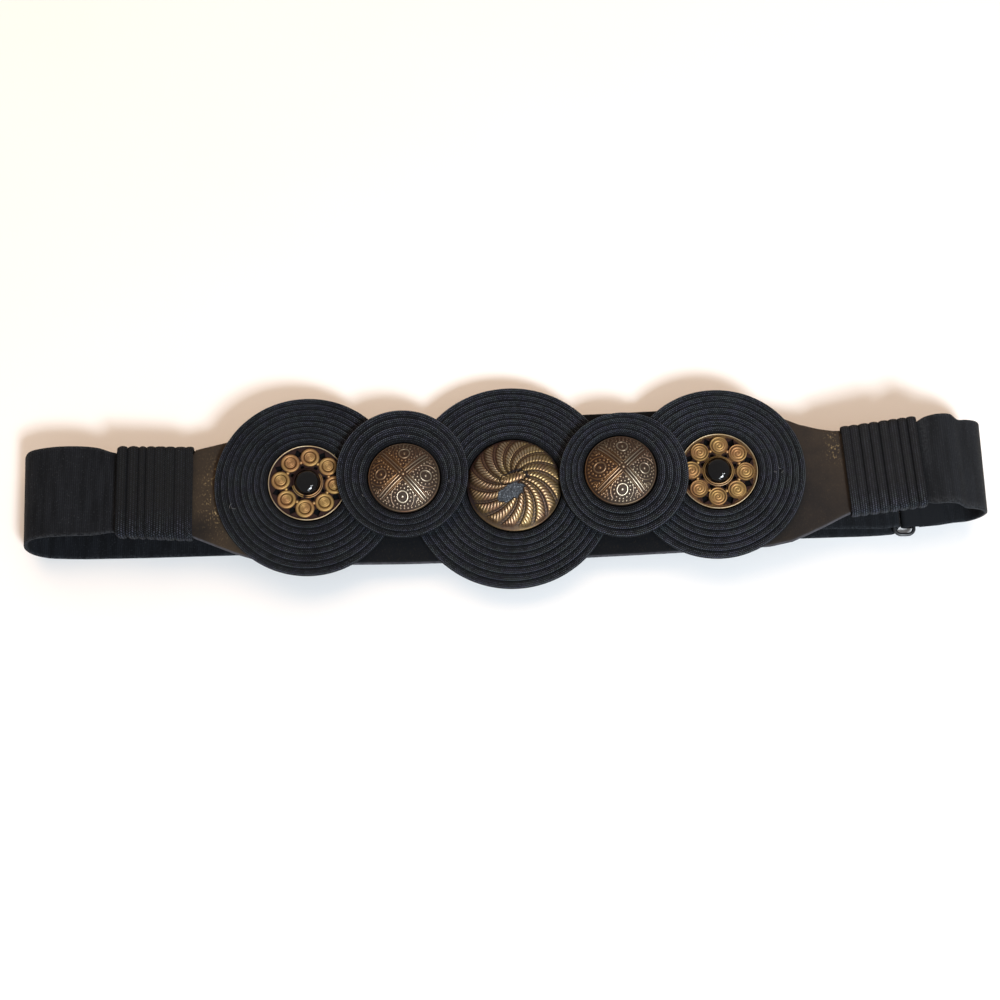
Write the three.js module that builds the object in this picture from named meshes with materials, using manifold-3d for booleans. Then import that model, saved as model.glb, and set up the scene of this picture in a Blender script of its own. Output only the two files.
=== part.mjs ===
// A stretch waist belt, lying fastened and face up: five coiled braid discs with metal
// medallions on a leather panel, black elastic on both sides, and a ring and hook clasp below.
// Millimetres. +X runs along the belt, +Y to its top edge, +Z up from the surface it lies on.
import * as THREE from "three";
import { mergeVertices } from "three/addons/utils/BufferGeometryUtils.js";
import Module from "manifold-3d";

const wasm = await Module();
wasm.setup();

// Sizes that the whole belt shares
const gap = 0.3; // left between pieces that touch
const elasticWidth = 38.4;
const elasticThickness = 1.4;
const leatherThickness = 1.6;
const discBacking = 0.8; // felt under the coils
const braidRise = 1.25; // from the backing to the low side of each turn
const braidCrest = 1.0; // how far a turn's outer edge stands above its low side
const turnRamp = 0.82; // share of a turn's width over which it climbs to that edge
const edgeRound = 0.5; // taken off a disc's lower rim
const seatGap = 0.5; // under a stiff medallion, which doesn't follow the curve of the panel
const discThickness = discBacking + braidRise + braidCrest;
const lowerDiscLift = leatherThickness + gap;
const upperDiscLift = lowerDiscLift + discThickness + gap;

// The line that the leather's underside follows above the surface, with the middle of the
// belt's width: the panel sags between the two end loops.
const frontLine = [
  { x: -176, height: 19.6, middle: 1.2 },
  { x: -160, height: 19.6, middle: 0.6 },
  { x: -144, height: 18.9, middle: -0.3 },
  { x: -127, height: 17.2, middle: -1.0 },
  { x: -81, height: 12.0, middle: 0.2 },
  { x: -40, height: 9.2, middle: 0.5 },
  { x: 3, height: 8.0, middle: 0.5 },
  { x: 45, height: 9.3, middle: 0.5 },
  { x: 89, height: 13.0, middle: 0.3 },
  { x: 118, height: 17.4, middle: -1.8 },
  { x: 140, height: 21.2, middle: -0.75 },
  { x: 155, height: 24.2, middle: 0.15 },
  { x: 170, height: 26.6, middle: 1.25 },
];

// The cut outline of the leather: a full panel, tapered to a tongue inside each wrap
const leatherOutline = [
  { x: -156, top: 17.2, bottom: -16.3 },
  { x: -128.4, top: 15.8, bottom: -17.8 },
  { x: -126.7, top: 18.0, bottom: -19.6 },
  { x: -110.7, top: 22.4, bottom: -26.1 },
  { x: -100, top: 26.8, bottom: -29.4 },
  { x: -88, top: 31.3, bottom: -30.9 },
  { x: -40, top: 31.3, bottom: -31.2 },
  { x: 96, top: 31.3, bottom: -30.2 },
  { x: 108, top: 28.2, bottom: -30.0 },
  { x: 116.8, top: 24.4, bottom: -28.6 },
  { x: 123.5, top: 20.9, bottom: -26.0 },
  { x: 131, top: 18.3, bottom: -22.9 },
  { x: 136.8, top: 16.9, bottom: -20.2 },
  { x: 138.6, top: 16.6, bottom: -19.4 },
  { x: 139.2, top: 15.4, bottom: -17.4 },
  { x: 166, top: 16.8, bottom: -15.8 },
];
const leatherStep = 10;

// Coiled braid discs; the heart is the round seat of the medallion, often off the disc's middle
const discs = [
  { name: "disc_left_large", x: -81.1, y: 1.8, radius: 38.0, turns: 8, sides: 26, upper: false,
    heart: { x: -81.5, y: 3.0, radius: 16.5 } },
  { name: "disc_left_small", x: -42.2, y: 5.8, radius: 27.4, turns: 4, sides: 24, upper: true,
    heart: { x: -41.5, y: 3.8, radius: 15.1 } },
  { name: "disc_centre", x: 3.2, y: 0, radius: 43.3, turns: 8, sides: 30, upper: false,
    heart: { x: 4.4, y: 0.5, radius: 20.0 } },
  { name: "disc_right_small", x: 50.2, y: 2.5, radius: 26.8, turns: 4, sides: 24, upper: true,
    heart: { x: 48.9, y: 4.0, radius: 15.1 } },
  { name: "disc_right_large", x: 88.2, y: 1.8, radius: 36.2, turns: 7, sides: 26, upper: false,
    heart: { x: 89.3, y: 2.5, radius: 16.5 } },
];

// Pierced rosettes: a rimmed plate, eight cups round a bezel, and a black cabochon
const rosette = {
  radius: 16.1, plate: 0.7, rimWidth: 0.9, rimHeight: 1.5, cups: 8, cupCircle: 11.0, cupRadius: 3.8,
  cupHeight: 1.8, cupDraft: 0.1, cupFloor: 1.7, firstCup: 85, bezelOuter: 6.0, bezelInner: 5.3,
  bezelHeight: 2.0, outerHole: 1.7, outerHoleInset: 1.6, innerHole: 0.75, innerHoleInset: 1.1,
};
const cabochon = { radius: 5.0, girdle: 0.9, height: 3.6 };

// Domed buttons
const smallDome = {
  radius: 14.8, rim: 0.9, height: 7.0, relief: 0.45, arms: 4, firstArm: 40,
  ringDistance: 9.4, ringRadius: 2.3, ringWire: 0.45, centreBead: 0.8,
};
const ropeDome = {
  radius: 19.6, rim: 1.2, height: 8.6, strands: 16, relief: 1.0, sweep: 0.8,
  barLength: 10, barRadius: 1.8, barAngle: 17, barUp: 2.0, barSunk: 0.7,
};

// Braid wraps over the leather's ends; the lean carries each turn's lower end along the belt
const wraps = [
  { name: "wrap_left", from: -158.3, to: -127.8, height: 37.8, lean: 0.6 },
  { name: "wrap_right", from: 140.3, to: 169.9, height: 37.8, lean: 1.1 },
];
const wrap = { turns: 8, wall: 1.1, rib: 0.5, corner: 0.5, grooveShare: 0.22 };

// Clasp: a wire ring held in the fold of the left elastic, and a wide plate hook on the right
// one, whose bend hangs loose in the ring
const ring = {
  left: 163.5, right: 171.7, bottom: -23.4, top: 16.5, height: 2.45, wire: 0.75, corner: 1.6, sides: 6,
};
const hook = { thickness: 0.8, width: 35.4, middle: -2.8, tail: 187, bend: 168.25, lip: 172.4 };

const colours = {
  elastic: { color: 0x17181c, roughness: 0.9, metalness: 0 },
  braid: { color: 0x1b1d22, roughness: 0.75, metalness: 0 },
  leather: { color: 0x3b2f27, roughness: 0.6, metalness: 0 },
  gold: { color: 0xb08a4e, roughness: 0.5, metalness: 0.8 },
  bronze: { color: 0x6e5a40, roughness: 0.4, metalness: 0.9 },
  glass: { color: 0x050607, roughness: 0.05, metalness: 0 },
  wire: { color: 0x111214, roughness: 0.35, metalness: 0.6 },
};

const belt = new THREE.Group();

// Smooth value of one column of a table at x, as a cubic through the rows with the slope at each
// row taken from its neighbours.
function tableValue(rows, column, x) {
  const last = rows.length - 1;
  const at = (i) => rows[Math.min(Math.max(i, 0), last)];
  let i = 0;
  while (i < last - 1 && x > rows[i + 1].x) i++;
  const slope = (k) => (at(k + 1)[column] - at(k - 1)[column]) / (at(k + 1).x - at(k - 1).x);
  const span = rows[i + 1].x - rows[i].x;
  const t = (x - rows[i].x) / span;
  const [a, b] = [rows[i][column], rows[i + 1][column]];
  const [p, q] = [slope(i) * span, slope(i + 1) * span];
  return a + p * t + (3 * (b - a) - 2 * p - q) * t * t + (2 * (a - b) + p + q) * t * t * t;
}

// Straight-line value of one column of a table at x
function tableLine(rows, column, x) {
  let i = 0;
  while (i < rows.length - 2 && x > rows[i + 1].x) i++;
  const t = (x - rows[i].x) / (rows[i + 1].x - rows[i].x);
  return THREE.MathUtils.lerp(rows[i][column], rows[i + 1][column], t);
}

function frontSlope(x) {
  return Math.atan(tableValue(frontLine, "height", x + 0.5) - tableValue(frontLine, "height", x - 0.5));
}

// A point of the draped front: x and y in plan, lift measured square to the leather's underside
function drapedPoint(x, y, lift) {
  const slope = frontSlope(x);
  const height = tableValue(frontLine, "height", x);
  return new THREE.Vector3(x - Math.sin(slope) * lift, y, height + Math.cos(slope) * lift);
}

// A closed skin over rings of points: each ring joins the next, and the two end rings are
// either joined to each other or filled by a fan round their middle.
function skin(rings, looped) {
  const size = rings[0].length;
  const points = rings.flat();
  const index = [];
  const strips = looped ? rings.length : rings.length - 1;
  for (let r = 0; r < strips; r++) {
    const [here, next] = [r * size, ((r + 1) % rings.length) * size];
    for (let i = 0; i < size; i++) {
      const j = (i + 1) % size;
      index.push(here + i, here + j, next + j, here + i, next + j, next + i);
    }
  }
  if (!looped) {
    for (const [start, ends] of [[0, rings[0]], [(rings.length - 1) * size, rings.at(-1)]]) {
      const middle = ends.reduce((sum, p) => sum.add(p), new THREE.Vector3()).divideScalar(size);
      points.push(middle);
      for (let i = 0; i < size; i++) {
        const j = (i + 1) % size;
        if (start === 0) index.push(start + j, start + i, points.length - 1);
        else index.push(start + i, start + j, points.length - 1);
      }
    }
  }
  const geometry = new THREE.BufferGeometry().setFromPoints(points).setIndex(index);
  return facingOut(geometry);
}

// Turns the faces round if the closed surface encloses a negative volume
function facingOut(geometry) {
  const position = geometry.getAttribute("position");
  const index = geometry.getIndex().array;
  const corner = (k) => new THREE.Vector3().fromBufferAttribute(position, index[k]);
  let volume = 0;
  for (let t = 0; t < index.length; t += 3) volume += corner(t).dot(corner(t + 1).cross(corner(t + 2)));
  if (volume < 0) {
    for (let t = 0; t < index.length; t += 3) [index[t + 1], index[t + 2]] = [index[t + 2], index[t + 1]];
  }
  return geometry;
}

function asSolid(geometry) {
  const bare = geometry.clone();
  bare.deleteAttribute("normal");
  bare.deleteAttribute("uv");
  const merged = mergeVertices(bare, 1e-4);
  return new wasm.Manifold(
    new wasm.Mesh({
      numProp: 3,
      vertProperties: merged.getAttribute("position").array,
      triVerts: new Uint32Array(merged.getIndex().array),
    }),
  );
}

function asGeometry(solid) {
  const mesh = solid.getMesh();
  return new THREE.BufferGeometry()
    .setAttribute("position", new THREE.BufferAttribute(mesh.vertProperties, 3))
    .setIndex(new THREE.BufferAttribute(mesh.triVerts, 1));
}

function addPiece(name, geometry, finish) {
  geometry.computeVertexNormals();
  const mesh = new THREE.Mesh(geometry, new THREE.MeshStandardMaterial(colours[finish]));
  mesh.name = name;
  belt.add(mesh);
  return mesh;
}

// A stiff piece is set flat on the draped front at its own middle
function setOnFront(mesh, x, y, lift) {
  mesh.position.copy(drapedPoint(x, y, lift));
  mesh.rotation.y = -frontSlope(x);
}

// A strap along stations of { x, z, middle, width, lean }: four corners at each, square to the
// path; the lean carries the top edge back along x and the bottom edge forward
function strap(stations, thickness) {
  const rings = stations.map((here, i) => {
    const before = stations[Math.max(i - 1, 0)];
    const after = stations[Math.min(i + 1, stations.length - 1)];
    const along = new THREE.Vector2(after.x - before.x, after.z - before.z).normalize();
    const [offX, offZ] = [(-along.y * thickness) / 2, (along.x * thickness) / 2];
    const [low, high] = [here.middle - here.width / 2, here.middle + here.width / 2];
    const [lowX, highX] = [here.x + here.lean / 2, here.x - here.lean / 2];
    return [
      new THREE.Vector3(lowX - offX, low, here.z - offZ),
      new THREE.Vector3(highX - offX, high, here.z - offZ),
      new THREE.Vector3(highX + offX, high, here.z + offZ),
      new THREE.Vector3(lowX + offX, low, here.z + offZ),
    ];
  });
  return skin(rings, false);
}

// Stations along a smooth curve through the rows of a strap's table, kept above the surface
function curvedStations(rows, steps, thickness) {
  const path = new THREE.CatmullRomCurve3(rows.map((r) => new THREE.Vector3(r.x, r.middle, r.z)));
  const spread = new THREE.CatmullRomCurve3(rows.map((r) => new THREE.Vector3(r.width, r.lean, 0)));
  return Array.from({ length: steps + 1 }, (_, i) => {
    const p = path.getPoint(i / steps);
    const { x: width, y: lean } = spread.getPoint(i / steps);
    return { x: p.x, z: Math.max(p.z, thickness / 2), middle: p.y, width, lean };
  });
}

// Row of a strap's table for the stretch inside a wrap, just under the leather
function rowInWrap(x, { height }) {
  const p = drapedPoint(x, 0, -gap - elasticThickness / 2);
  const width = wrapInside(height) - 2 * gap;
  return { x: p.x, z: p.z, middle: tableValue(frontLine, "middle", x), width, lean: 0 };
}

function wrapInside(height) {
  return height - 2 * (wrap.wall + wrap.rib);
}

function leatherPanel() {
  const xs = leatherOutline.map((row) => row.x);
  const stops = xs.flatMap((x, i) => {
    const next = xs[i + 1] ?? x;
    const pieces = Math.max(Math.ceil((next - x) / leatherStep), 1);
    return Array.from({ length: pieces }, (_, k) => x + ((next - x) * k) / pieces);
  });
  const rings = stops.map((x) => {
    const [top, bottom] = [tableLine(leatherOutline, "top", x), tableLine(leatherOutline, "bottom", x)];
    return [
      drapedPoint(x, bottom, 0),
      drapedPoint(x, top, 0),
      drapedPoint(x, top, leatherThickness),
      drapedPoint(x, bottom, leatherThickness),
    ];
  });
  addPiece("leather_panel", skin(rings, false), "leather");
}

// Left elastic: out of the wrap, round the left fold, along the surface, and round the ring's bar
function elasticLeft() {
  const bed = elasticThickness / 2;
  const loop = ring.wire + gap + bed; // radius of the strap's middle round the ring's bar
  const overlay = 3 * bed + gap; // middle of the layer that lies on the first
  const fold = curvedStations(
    [
      rowInWrap(-130, wraps[0]),
      rowInWrap(-146, wraps[0]),
      rowInWrap(-160, wraps[0]),
      { x: -168, z: 18.8, middle: 1.4, width: 37.4, lean: 0 },
      { x: -178, z: 19.0, middle: 1.8, width: elasticWidth, lean: 0 },
      { x: -188, z: 18.4, middle: 1.7, width: elasticWidth, lean: 0.4 },
      { x: -196.0, z: 15.3, middle: 1.0, width: elasticWidth, lean: 1.4 },
      { x: -198.8, z: 9.8, middle: -0.7, width: elasticWidth, lean: 1.8 },
      { x: -197.3, z: 4.8, middle: -2.0, width: elasticWidth, lean: 1.8 },
      { x: -191.9, z: 1.6, middle: -2.9, width: elasticWidth, lean: 1.0 },
      { x: -183, z: bed, middle: -3.4, width: elasticWidth, lean: 0 },
    ],
    34,
    elasticThickness,
  );
  const back = [
    { x: -176, z: bed, middle: -3.7, width: elasticWidth, lean: 0 },
    { x: -150, z: bed, middle: -4.2, width: 38, lean: 0 },
    { x: 150, z: bed, middle: -4.4, width: 38, lean: 0 },
    { x: 158, z: bed, middle: -4.2, width: 38, lean: 0 },
  ];
  const turn = Array.from({ length: 9 }, (_, k) => {
    const angle = (k / 8) * Math.PI;
    const x = ring.left + Math.sin(angle) * loop;
    return { x, z: ring.height - Math.cos(angle) * loop, middle: -3.8 + 0.08 * k, width: 37.4, lean: 0 };
  });
  const foldBack = [
    { x: 160.5, z: ring.height + 1.45, middle: -2.6, width: 37.6, lean: 0 },
    { x: 157, z: ring.height + 0.75, middle: -2.0, width: 37.8, lean: 0 },
    { x: 153, z: overlay + 0.2, middle: -1.6, width: 38, lean: 0 },
    { x: 149, z: overlay, middle: -1.3, width: 38, lean: 0 },
    { x: 131, z: overlay, middle: -1.0, width: 38, lean: 0 },
  ];
  addPiece("elastic_left", strap([...fold, ...back, ...turn, ...foldBack], elasticThickness), "elastic");
}

// Right elastic: out of the wrap over a crease, round the right fold, and flat to the hook
function elasticRight() {
  const bed = elasticThickness / 2;
  const stations = curvedStations(
    [
      rowInWrap(143, wraps[1]),
      rowInWrap(156, wraps[1]),
      rowInWrap(169, wraps[1]),
      { x: 173.5, z: 27.6, middle: 1.5, width: 37.0, lean: 0 },
      { x: 178.5, z: 29.4, middle: 1.6, width: 37.8, lean: 0 },
      { x: 183, z: 28.0, middle: 1.0, width: 38.0, lean: 0 },
      { x: 188.5, z: 25.2, middle: 0.3, width: elasticWidth, lean: -0.3 },
      { x: 195, z: 21.4, middle: 0.3, width: elasticWidth, lean: -0.8 },
      { x: 198.4, z: 15.0, middle: 0.6, width: elasticWidth, lean: -1.3 },
      { x: 198.0, z: 7.6, middle: 0.6, width: elasticWidth, lean: -1.5 },
      { x: 195.0, z: 2.6, middle: 0.6, width: elasticWidth, lean: -1.0 },
      { x: 189, z: bed, middle: 0.6, width: elasticWidth, lean: 0 },
    ],
    38,
    elasticThickness,
  );
  const end = [
    { x: 183, z: bed, middle: 0.4, width: 38.2, lean: 0 },
    { x: 174.6, z: bed, middle: 0.2, width: 38, lean: 0 },
  ];
  addPiece("elastic_right", strap([...stations, ...end], elasticThickness), "elastic");
}

// Rectangle round a wrap's inside, swollen by its wall: two points at each corner
function wrapSection(halfHeight, top, bottom, swell) {
  const corners = [
    { y: halfHeight, w: top, from: 0 },
    { y: -halfHeight, w: top, from: 90 },
    { y: -halfHeight, w: bottom, from: 180 },
    { y: halfHeight, w: bottom, from: 270 },
  ];
  return corners.flatMap(({ y, w, from }) =>
    [12, 78].map((turn) => {
      const angle = THREE.MathUtils.degToRad(from + turn);
      return { y: y + Math.cos(angle) * swell, w: w + Math.sin(angle) * swell };
    }),
  );
}

// A sleeve of braid turns round the leather's tongue and the elastic under it
function braidWrap({ name, from, to, height, lean }) {
  const halfHeight = wrapInside(height) / 2 - wrap.corner;
  const top = leatherThickness + gap - wrap.corner;
  const bottom = -gap - elasticThickness - gap + wrap.corner;
  const groove = wrap.corner + wrap.wall;
  const crest = groove + wrap.rib;
  const pitch = (to - from) / wrap.turns;
  const ribs = Array.from({ length: wrap.turns }, (_, k) => [
    { s: from + k * pitch, swell: groove },
    { s: from + (k + wrap.grooveShare) * pitch, swell: crest },
    { s: from + (k + 1 - wrap.grooveShare) * pitch, swell: crest },
  ]).flat();
  const end = { s: to, swell: groove };
  const inside = [0.02, 0.34, 0.66, 0.98].map((share) => (
    { s: THREE.MathUtils.lerp(to, from, share), swell: wrap.corner }));
  const rings = [...ribs, end, ...inside].map(({ s, swell }) =>
    wrapSection(halfHeight, top, bottom, swell).map(({ y, w }) => {
      const x = s - (lean * y) / height;
      return drapedPoint(x, y + tableValue(frontLine, "middle", s), w);
    }),
  );
  addPiece(name, skin(rings, true), "braid");
}

// A disc of coiled braid: flat underside, turns that step down outwards like shingles, and a
// sunk seat in the heart. Rings drift from the heart's middle to the disc's own middle.
function coilDisc({ name, x, y, radius, turns, sides, upper, heart }) {
  const low = discBacking + braidRise;
  const pitch = (radius - heart.radius) / turns;
  const crests = Array.from({ length: turns }, (_, k) => {
    const inner = radius - k * pitch;
    return [new THREE.Vector2(inner, low + braidCrest), new THREE.Vector2(inner - turnRamp * pitch, low)];
  }).flat();
  const profile = [
    new THREE.Vector2(0, 0),
    new THREE.Vector2(radius - edgeRound, 0),
    new THREE.Vector2(radius, discBacking),
    ...crests,
    new THREE.Vector2(heart.radius, low),
    new THREE.Vector2(heart.radius, discBacking),
    new THREE.Vector2(0, discBacking),
  ];
  const geometry = new THREE.LatheGeometry(profile, sides);
  const position = geometry.getAttribute("position");
  const lift = upper ? upperDiscLift : lowerDiscLift;
  for (let i = 0; i < position.count; i++) {
    const [across, rise, along] = [position.getX(i), position.getY(i), position.getZ(i)];
    const outwards = (Math.hypot(across, along) - heart.radius) / (radius - heart.radius);
    const share = THREE.MathUtils.clamp(outwards, 0, 1);
    const plan = {
      x: THREE.MathUtils.lerp(heart.x, x, share) + across,
      y: THREE.MathUtils.lerp(heart.y, y, share) - along,
    };
    const p = drapedPoint(plan.x, plan.y, lift + rise);
    position.setXYZ(i, p.x, p.y, p.z);
  }
  addPiece(name, geometry, "braid");
}

// A lathe turned so that its axis is Z
function turned(points, sides) {
  return new THREE.LatheGeometry(points.map(([r, h]) => new THREE.Vector2(r, h)), sides).rotateX(Math.PI / 2);
}

function placed(geometry, distance, degrees, height = 0) {
  const angle = THREE.MathUtils.degToRad(degrees);
  return geometry.translate(distance * Math.cos(angle), distance * Math.sin(angle), height);
}

// One cup of the rosette: a raised lip, a sunk groove and a raised floor
function rosetteCup(degrees) {
  const { cupRadius: outer, cupHeight: top, cupDraft: draft, cupFloor: floor, plate } = rosette;
  const [foot, groove] = [plate / 2, (outer + floor) / 2];
  const lip = [[0, foot], [outer, foot], [outer - draft, top]];
  const profile = [...lip, [groove, plate + draft], [floor, top - draft], [0, top - draft]];
  return asSolid(placed(turned(profile, 8), rosette.cupCircle, degrees));
}

// The rosette's plate with its rim, cut through between the cups, and its cups and bezel on top
function rosettePiece(name, heart) {
  const { radius, plate, rimHeight, bezelOuter, bezelInner, bezelHeight, cups } = rosette;
  const rimInner = radius - rosette.rimWidth;
  let solid = asSolid(
    turned(
      [[0, 0], [radius, 0], [radius, rimHeight], [rimInner, rimHeight], [rimInner, plate],
        [bezelOuter, plate], [bezelOuter, bezelHeight], [bezelInner, bezelHeight],
        [bezelInner, plate], [0, plate]],
      24,
    ),
  );
  for (let k = 0; k < cups; k++) {
    const cup = rosette.firstCup + (k * 360) / cups;
    const between = cup + 180 / cups;
    const drill = (size, sides, distance) => {
      const hole = new THREE.CylinderGeometry(size, size, 4 * plate, sides).rotateX(Math.PI / 2);
      hole.rotateZ(THREE.MathUtils.degToRad(between));
      return asSolid(placed(hole, distance, between));
    };
    solid = solid.subtract(drill(rosette.outerHole, 3, rimInner - rosette.outerHoleInset));
    solid = solid.subtract(drill(rosette.innerHole, 4, bezelOuter + rosette.innerHoleInset));
    solid = solid.add(rosetteCup(cup));
  }
  const mesh = addPiece(name, asGeometry(solid), "gold");
  setOnFront(mesh, heart.x, heart.y, lowerDiscLift + discBacking + seatGap);
}

function cabochonPiece(name, heart) {
  const { radius, girdle, height } = cabochon;
  const crown = Array.from({ length: 5 }, (_, k) => {
    const angle = (k / 4) * (Math.PI / 2);
    return [radius * Math.cos(angle), girdle + (height - girdle) * Math.sin(angle)];
  });
  crown.at(-1)[0] = 0;
  const mesh = addPiece(name, turned([[0, 0], [radius, 0], ...crown], 14), "glass");
  setOnFront(mesh, heart.x, heart.y, lowerDiscLift + discBacking + seatGap + rosette.plate + gap);
}

// Height of a spherical cap of the given radius and rise at distance r from its axis
function capHeight(r, radius, rise) {
  const sphere = (radius * radius + rise * rise) / (2 * rise);
  return Math.sqrt(Math.max(sphere * sphere - r * r, 0)) - (sphere - rise);
}

// A small dome: a cap with a cross of double bars, and in each quarter a ring round a bead
function smallDomePiece(name, heart) {
  const { radius, rim, height, relief, arms, firstArm } = smallDome;
  const { ringDistance, ringRadius, ringWire, centreBead } = smallDome;
  const distances = [2.4, 6, 9.4, 12.4, radius];
  const barOffsets = [-1.5, -0.75, 0, 0.75, 1.5];
  const barRelief = [0, 1, 0.1, 1, 0];
  const spokes = Array.from({ length: arms }, (_, k) => {
    const arm = firstArm + (k * 360) / arms;
    const bars = barOffsets.map((offset, i) => ({ arm, offset, turn: 0, rise: barRelief[i] }));
    return [...bars, { arm, offset: 1.5, turn: 22.5, rise: 0 }, { arm, offset: 0, turn: 45, rise: 0 },
      { arm: arm + 90, offset: -1.5, turn: -22.5, rise: 0 }];
  }).flat();
  const rings = distances.map((distance) => spokes.map(({ arm, offset, turn, rise }) => {
    const aside = Math.asin(offset / distance) * (1 - Math.abs(turn) / 45);
    const angle = THREE.MathUtils.degToRad(arm + turn) + aside;
    const raised = distance < radius ? relief * rise : 0;
    const z = rim + capHeight(distance, radius, height - rim) + raised;
    return new THREE.Vector3(distance * Math.cos(angle), distance * Math.sin(angle), z);
  }));
  const foot = rings.at(-1).map((p) => new THREE.Vector3(p.x, p.y, 0));
  let solid = asSolid(skin([...rings, foot], false));
  const seat = rim + capHeight(ringDistance, radius, height - rim);
  const lean = Math.asin(ringDistance / ((radius ** 2 + (height - rim) ** 2) / (2 * (height - rim))));
  for (let k = 0; k < arms; k++) {
    const quarter = firstArm + 45 + (k * 360) / arms;
    const outer = ringRadius + ringWire;
    const ringTop = [[outer, 0.1], [ringRadius, ringWire], [ringRadius - centreBead, 0.05]];
    const profile = [[0, -rim], [outer, -rim], ...ringTop, [0, centreBead]];
    const eye = turned(profile, 8).rotateY(lean).translate(ringDistance, 0, seat);
    solid = solid.add(asSolid(eye.rotateZ(THREE.MathUtils.degToRad(quarter))));
  }
  solid = solid.add(asSolid(new THREE.SphereGeometry(centreBead, 6, 4).translate(0, 0, height)));
  const mesh = addPiece(name, asGeometry(solid), "bronze");
  setOnFront(mesh, heart.x, heart.y, upperDiscLift + discBacking + seatGap);
}

// The centre dome: rope strands that sweep outwards in a spiral, and a short rope bar on top
function ropeDomePiece(name, heart) {
  const { radius, rim, height, strands, relief, sweep } = ropeDome;
  const { barLength, barRadius, barAngle, barUp, barSunk } = ropeDome;
  const distances = [3.2, 6.2, 9.2, 12.2, 15.2, 17.8, radius];
  const rings = distances.map((distance) => {
    const inner = (distance - distances[0]) / (radius - distances[0]);
    const raise = relief * Math.sin(Math.PI * (0.12 + 0.86 * inner)) * (distance < radius ? 1 : 0);
    return Array.from({ length: 2 * strands }, (_, i) => {
      const angle = (i * Math.PI) / strands - sweep * inner;
      const z = rim + capHeight(distance, radius, height - rim) + (i % 2 ? raise : 0);
      return new THREE.Vector3(distance * Math.cos(angle), distance * Math.sin(angle), z);
    });
  });
  const foot = rings.at(-1).map((p) => new THREE.Vector3(p.x, p.y, 0));
  const bar = new THREE.CapsuleGeometry(barRadius, barLength - 2 * barRadius, 3, 8).rotateZ(Math.PI / 2);
  bar.rotateZ(THREE.MathUtils.degToRad(barAngle)).translate(0, barUp, height - barSunk);
  const solid = asSolid(skin([...rings, foot], false)).add(asSolid(bar));
  const mesh = addPiece(name, asGeometry(solid), "bronze");
  setOnFront(mesh, heart.x, heart.y, lowerDiscLift + discBacking + seatGap);
}

// The ring: round wire swept along a rounded rectangle that lies level
function claspRing() {
  const { left, right, bottom, top, height, wire, corner, sides } = ring;
  const corners = [
    { x: right - corner, y: top - corner, from: 0 },
    { x: left + corner, y: top - corner, from: 90 },
    { x: left + corner, y: bottom + corner, from: 180 },
    { x: right - corner, y: bottom + corner, from: 270 },
  ];
  const rings = corners.flatMap(({ x, y, from }) => [0, 30, 60, 90].map((turn) => {
    const angle = THREE.MathUtils.degToRad(from + turn);
    return Array.from({ length: sides }, (_, k) => {
      const round = ((k + 0.5) / sides) * 2 * Math.PI;
      const reach = corner + wire * Math.cos(round);
      return new THREE.Vector3(
        x + Math.cos(angle) * reach,
        y + Math.sin(angle) * reach,
        height + wire * Math.sin(round),
      );
    });
  }));
  addPiece("clasp_ring", skin(rings, true), "wire");
}

// The hook: a plate that lies on the right elastic's end, crosses the ring's bar and turns
// back under it
function claspHook() {
  const { thickness, width, tail, middle, bend, lip } = hook;
  const around = ring.wire + gap + thickness / 2;
  const lying = elasticThickness + gap + thickness / 2;
  const plate = [
    { x: tail, z: lying },
    { x: 176, z: lying },
    { x: 174.4, z: ring.height + 0.6 },
    { x: 173.2, z: ring.height + around },
  ];
  const turn = Array.from({ length: 8 }, (_, k) => {
    const angle = (k / 7) * Math.PI;
    return { x: bend - Math.sin(angle) * around, z: ring.height + Math.cos(angle) * around };
  });
  const end = { x: lip, z: ring.height - around };
  const stations = [...plate, ...turn, end].map((p) => ({ ...p, middle, width, lean: 0 }));
  addPiece("clasp_hook", strap(stations, thickness), "wire");
}

leatherPanel();
elasticLeft();
elasticRight();
wraps.forEach(braidWrap);
discs.forEach(coilDisc);
rosettePiece("rosette_left", discs[0].heart);
rosettePiece("rosette_right", discs[4].heart);
cabochonPiece("cabochon_left", discs[0].heart);
cabochonPiece("cabochon_right", discs[4].heart);
smallDomePiece("dome_left_small", discs[1].heart);
smallDomePiece("dome_right_small", discs[3].heart);
ropeDomePiece("dome_centre", discs[2].heart);
claspRing();
claspHook();

export default belt;
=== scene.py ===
# A stretch waist belt with coiled braid discs and metal medallions, lying fastened and face up.
# Everything is worked out in millimetres and put into the meshes in metres.
import bmesh
import bpy
import math
import numpy as np
from mathutils import Matrix, Vector


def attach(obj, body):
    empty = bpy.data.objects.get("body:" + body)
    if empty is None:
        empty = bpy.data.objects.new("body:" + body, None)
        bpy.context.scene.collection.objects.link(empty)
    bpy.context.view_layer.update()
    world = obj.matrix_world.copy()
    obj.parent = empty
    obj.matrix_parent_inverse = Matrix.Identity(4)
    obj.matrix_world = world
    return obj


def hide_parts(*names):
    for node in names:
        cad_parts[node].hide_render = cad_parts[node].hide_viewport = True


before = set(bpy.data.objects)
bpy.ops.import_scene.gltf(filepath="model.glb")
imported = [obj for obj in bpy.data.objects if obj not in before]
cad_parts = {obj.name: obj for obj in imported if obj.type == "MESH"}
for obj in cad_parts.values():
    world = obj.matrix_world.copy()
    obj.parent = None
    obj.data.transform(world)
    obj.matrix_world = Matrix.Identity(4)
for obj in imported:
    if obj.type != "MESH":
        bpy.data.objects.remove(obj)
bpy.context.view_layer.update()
mm = 0.001
turnCircle = 2 * math.pi

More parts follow.
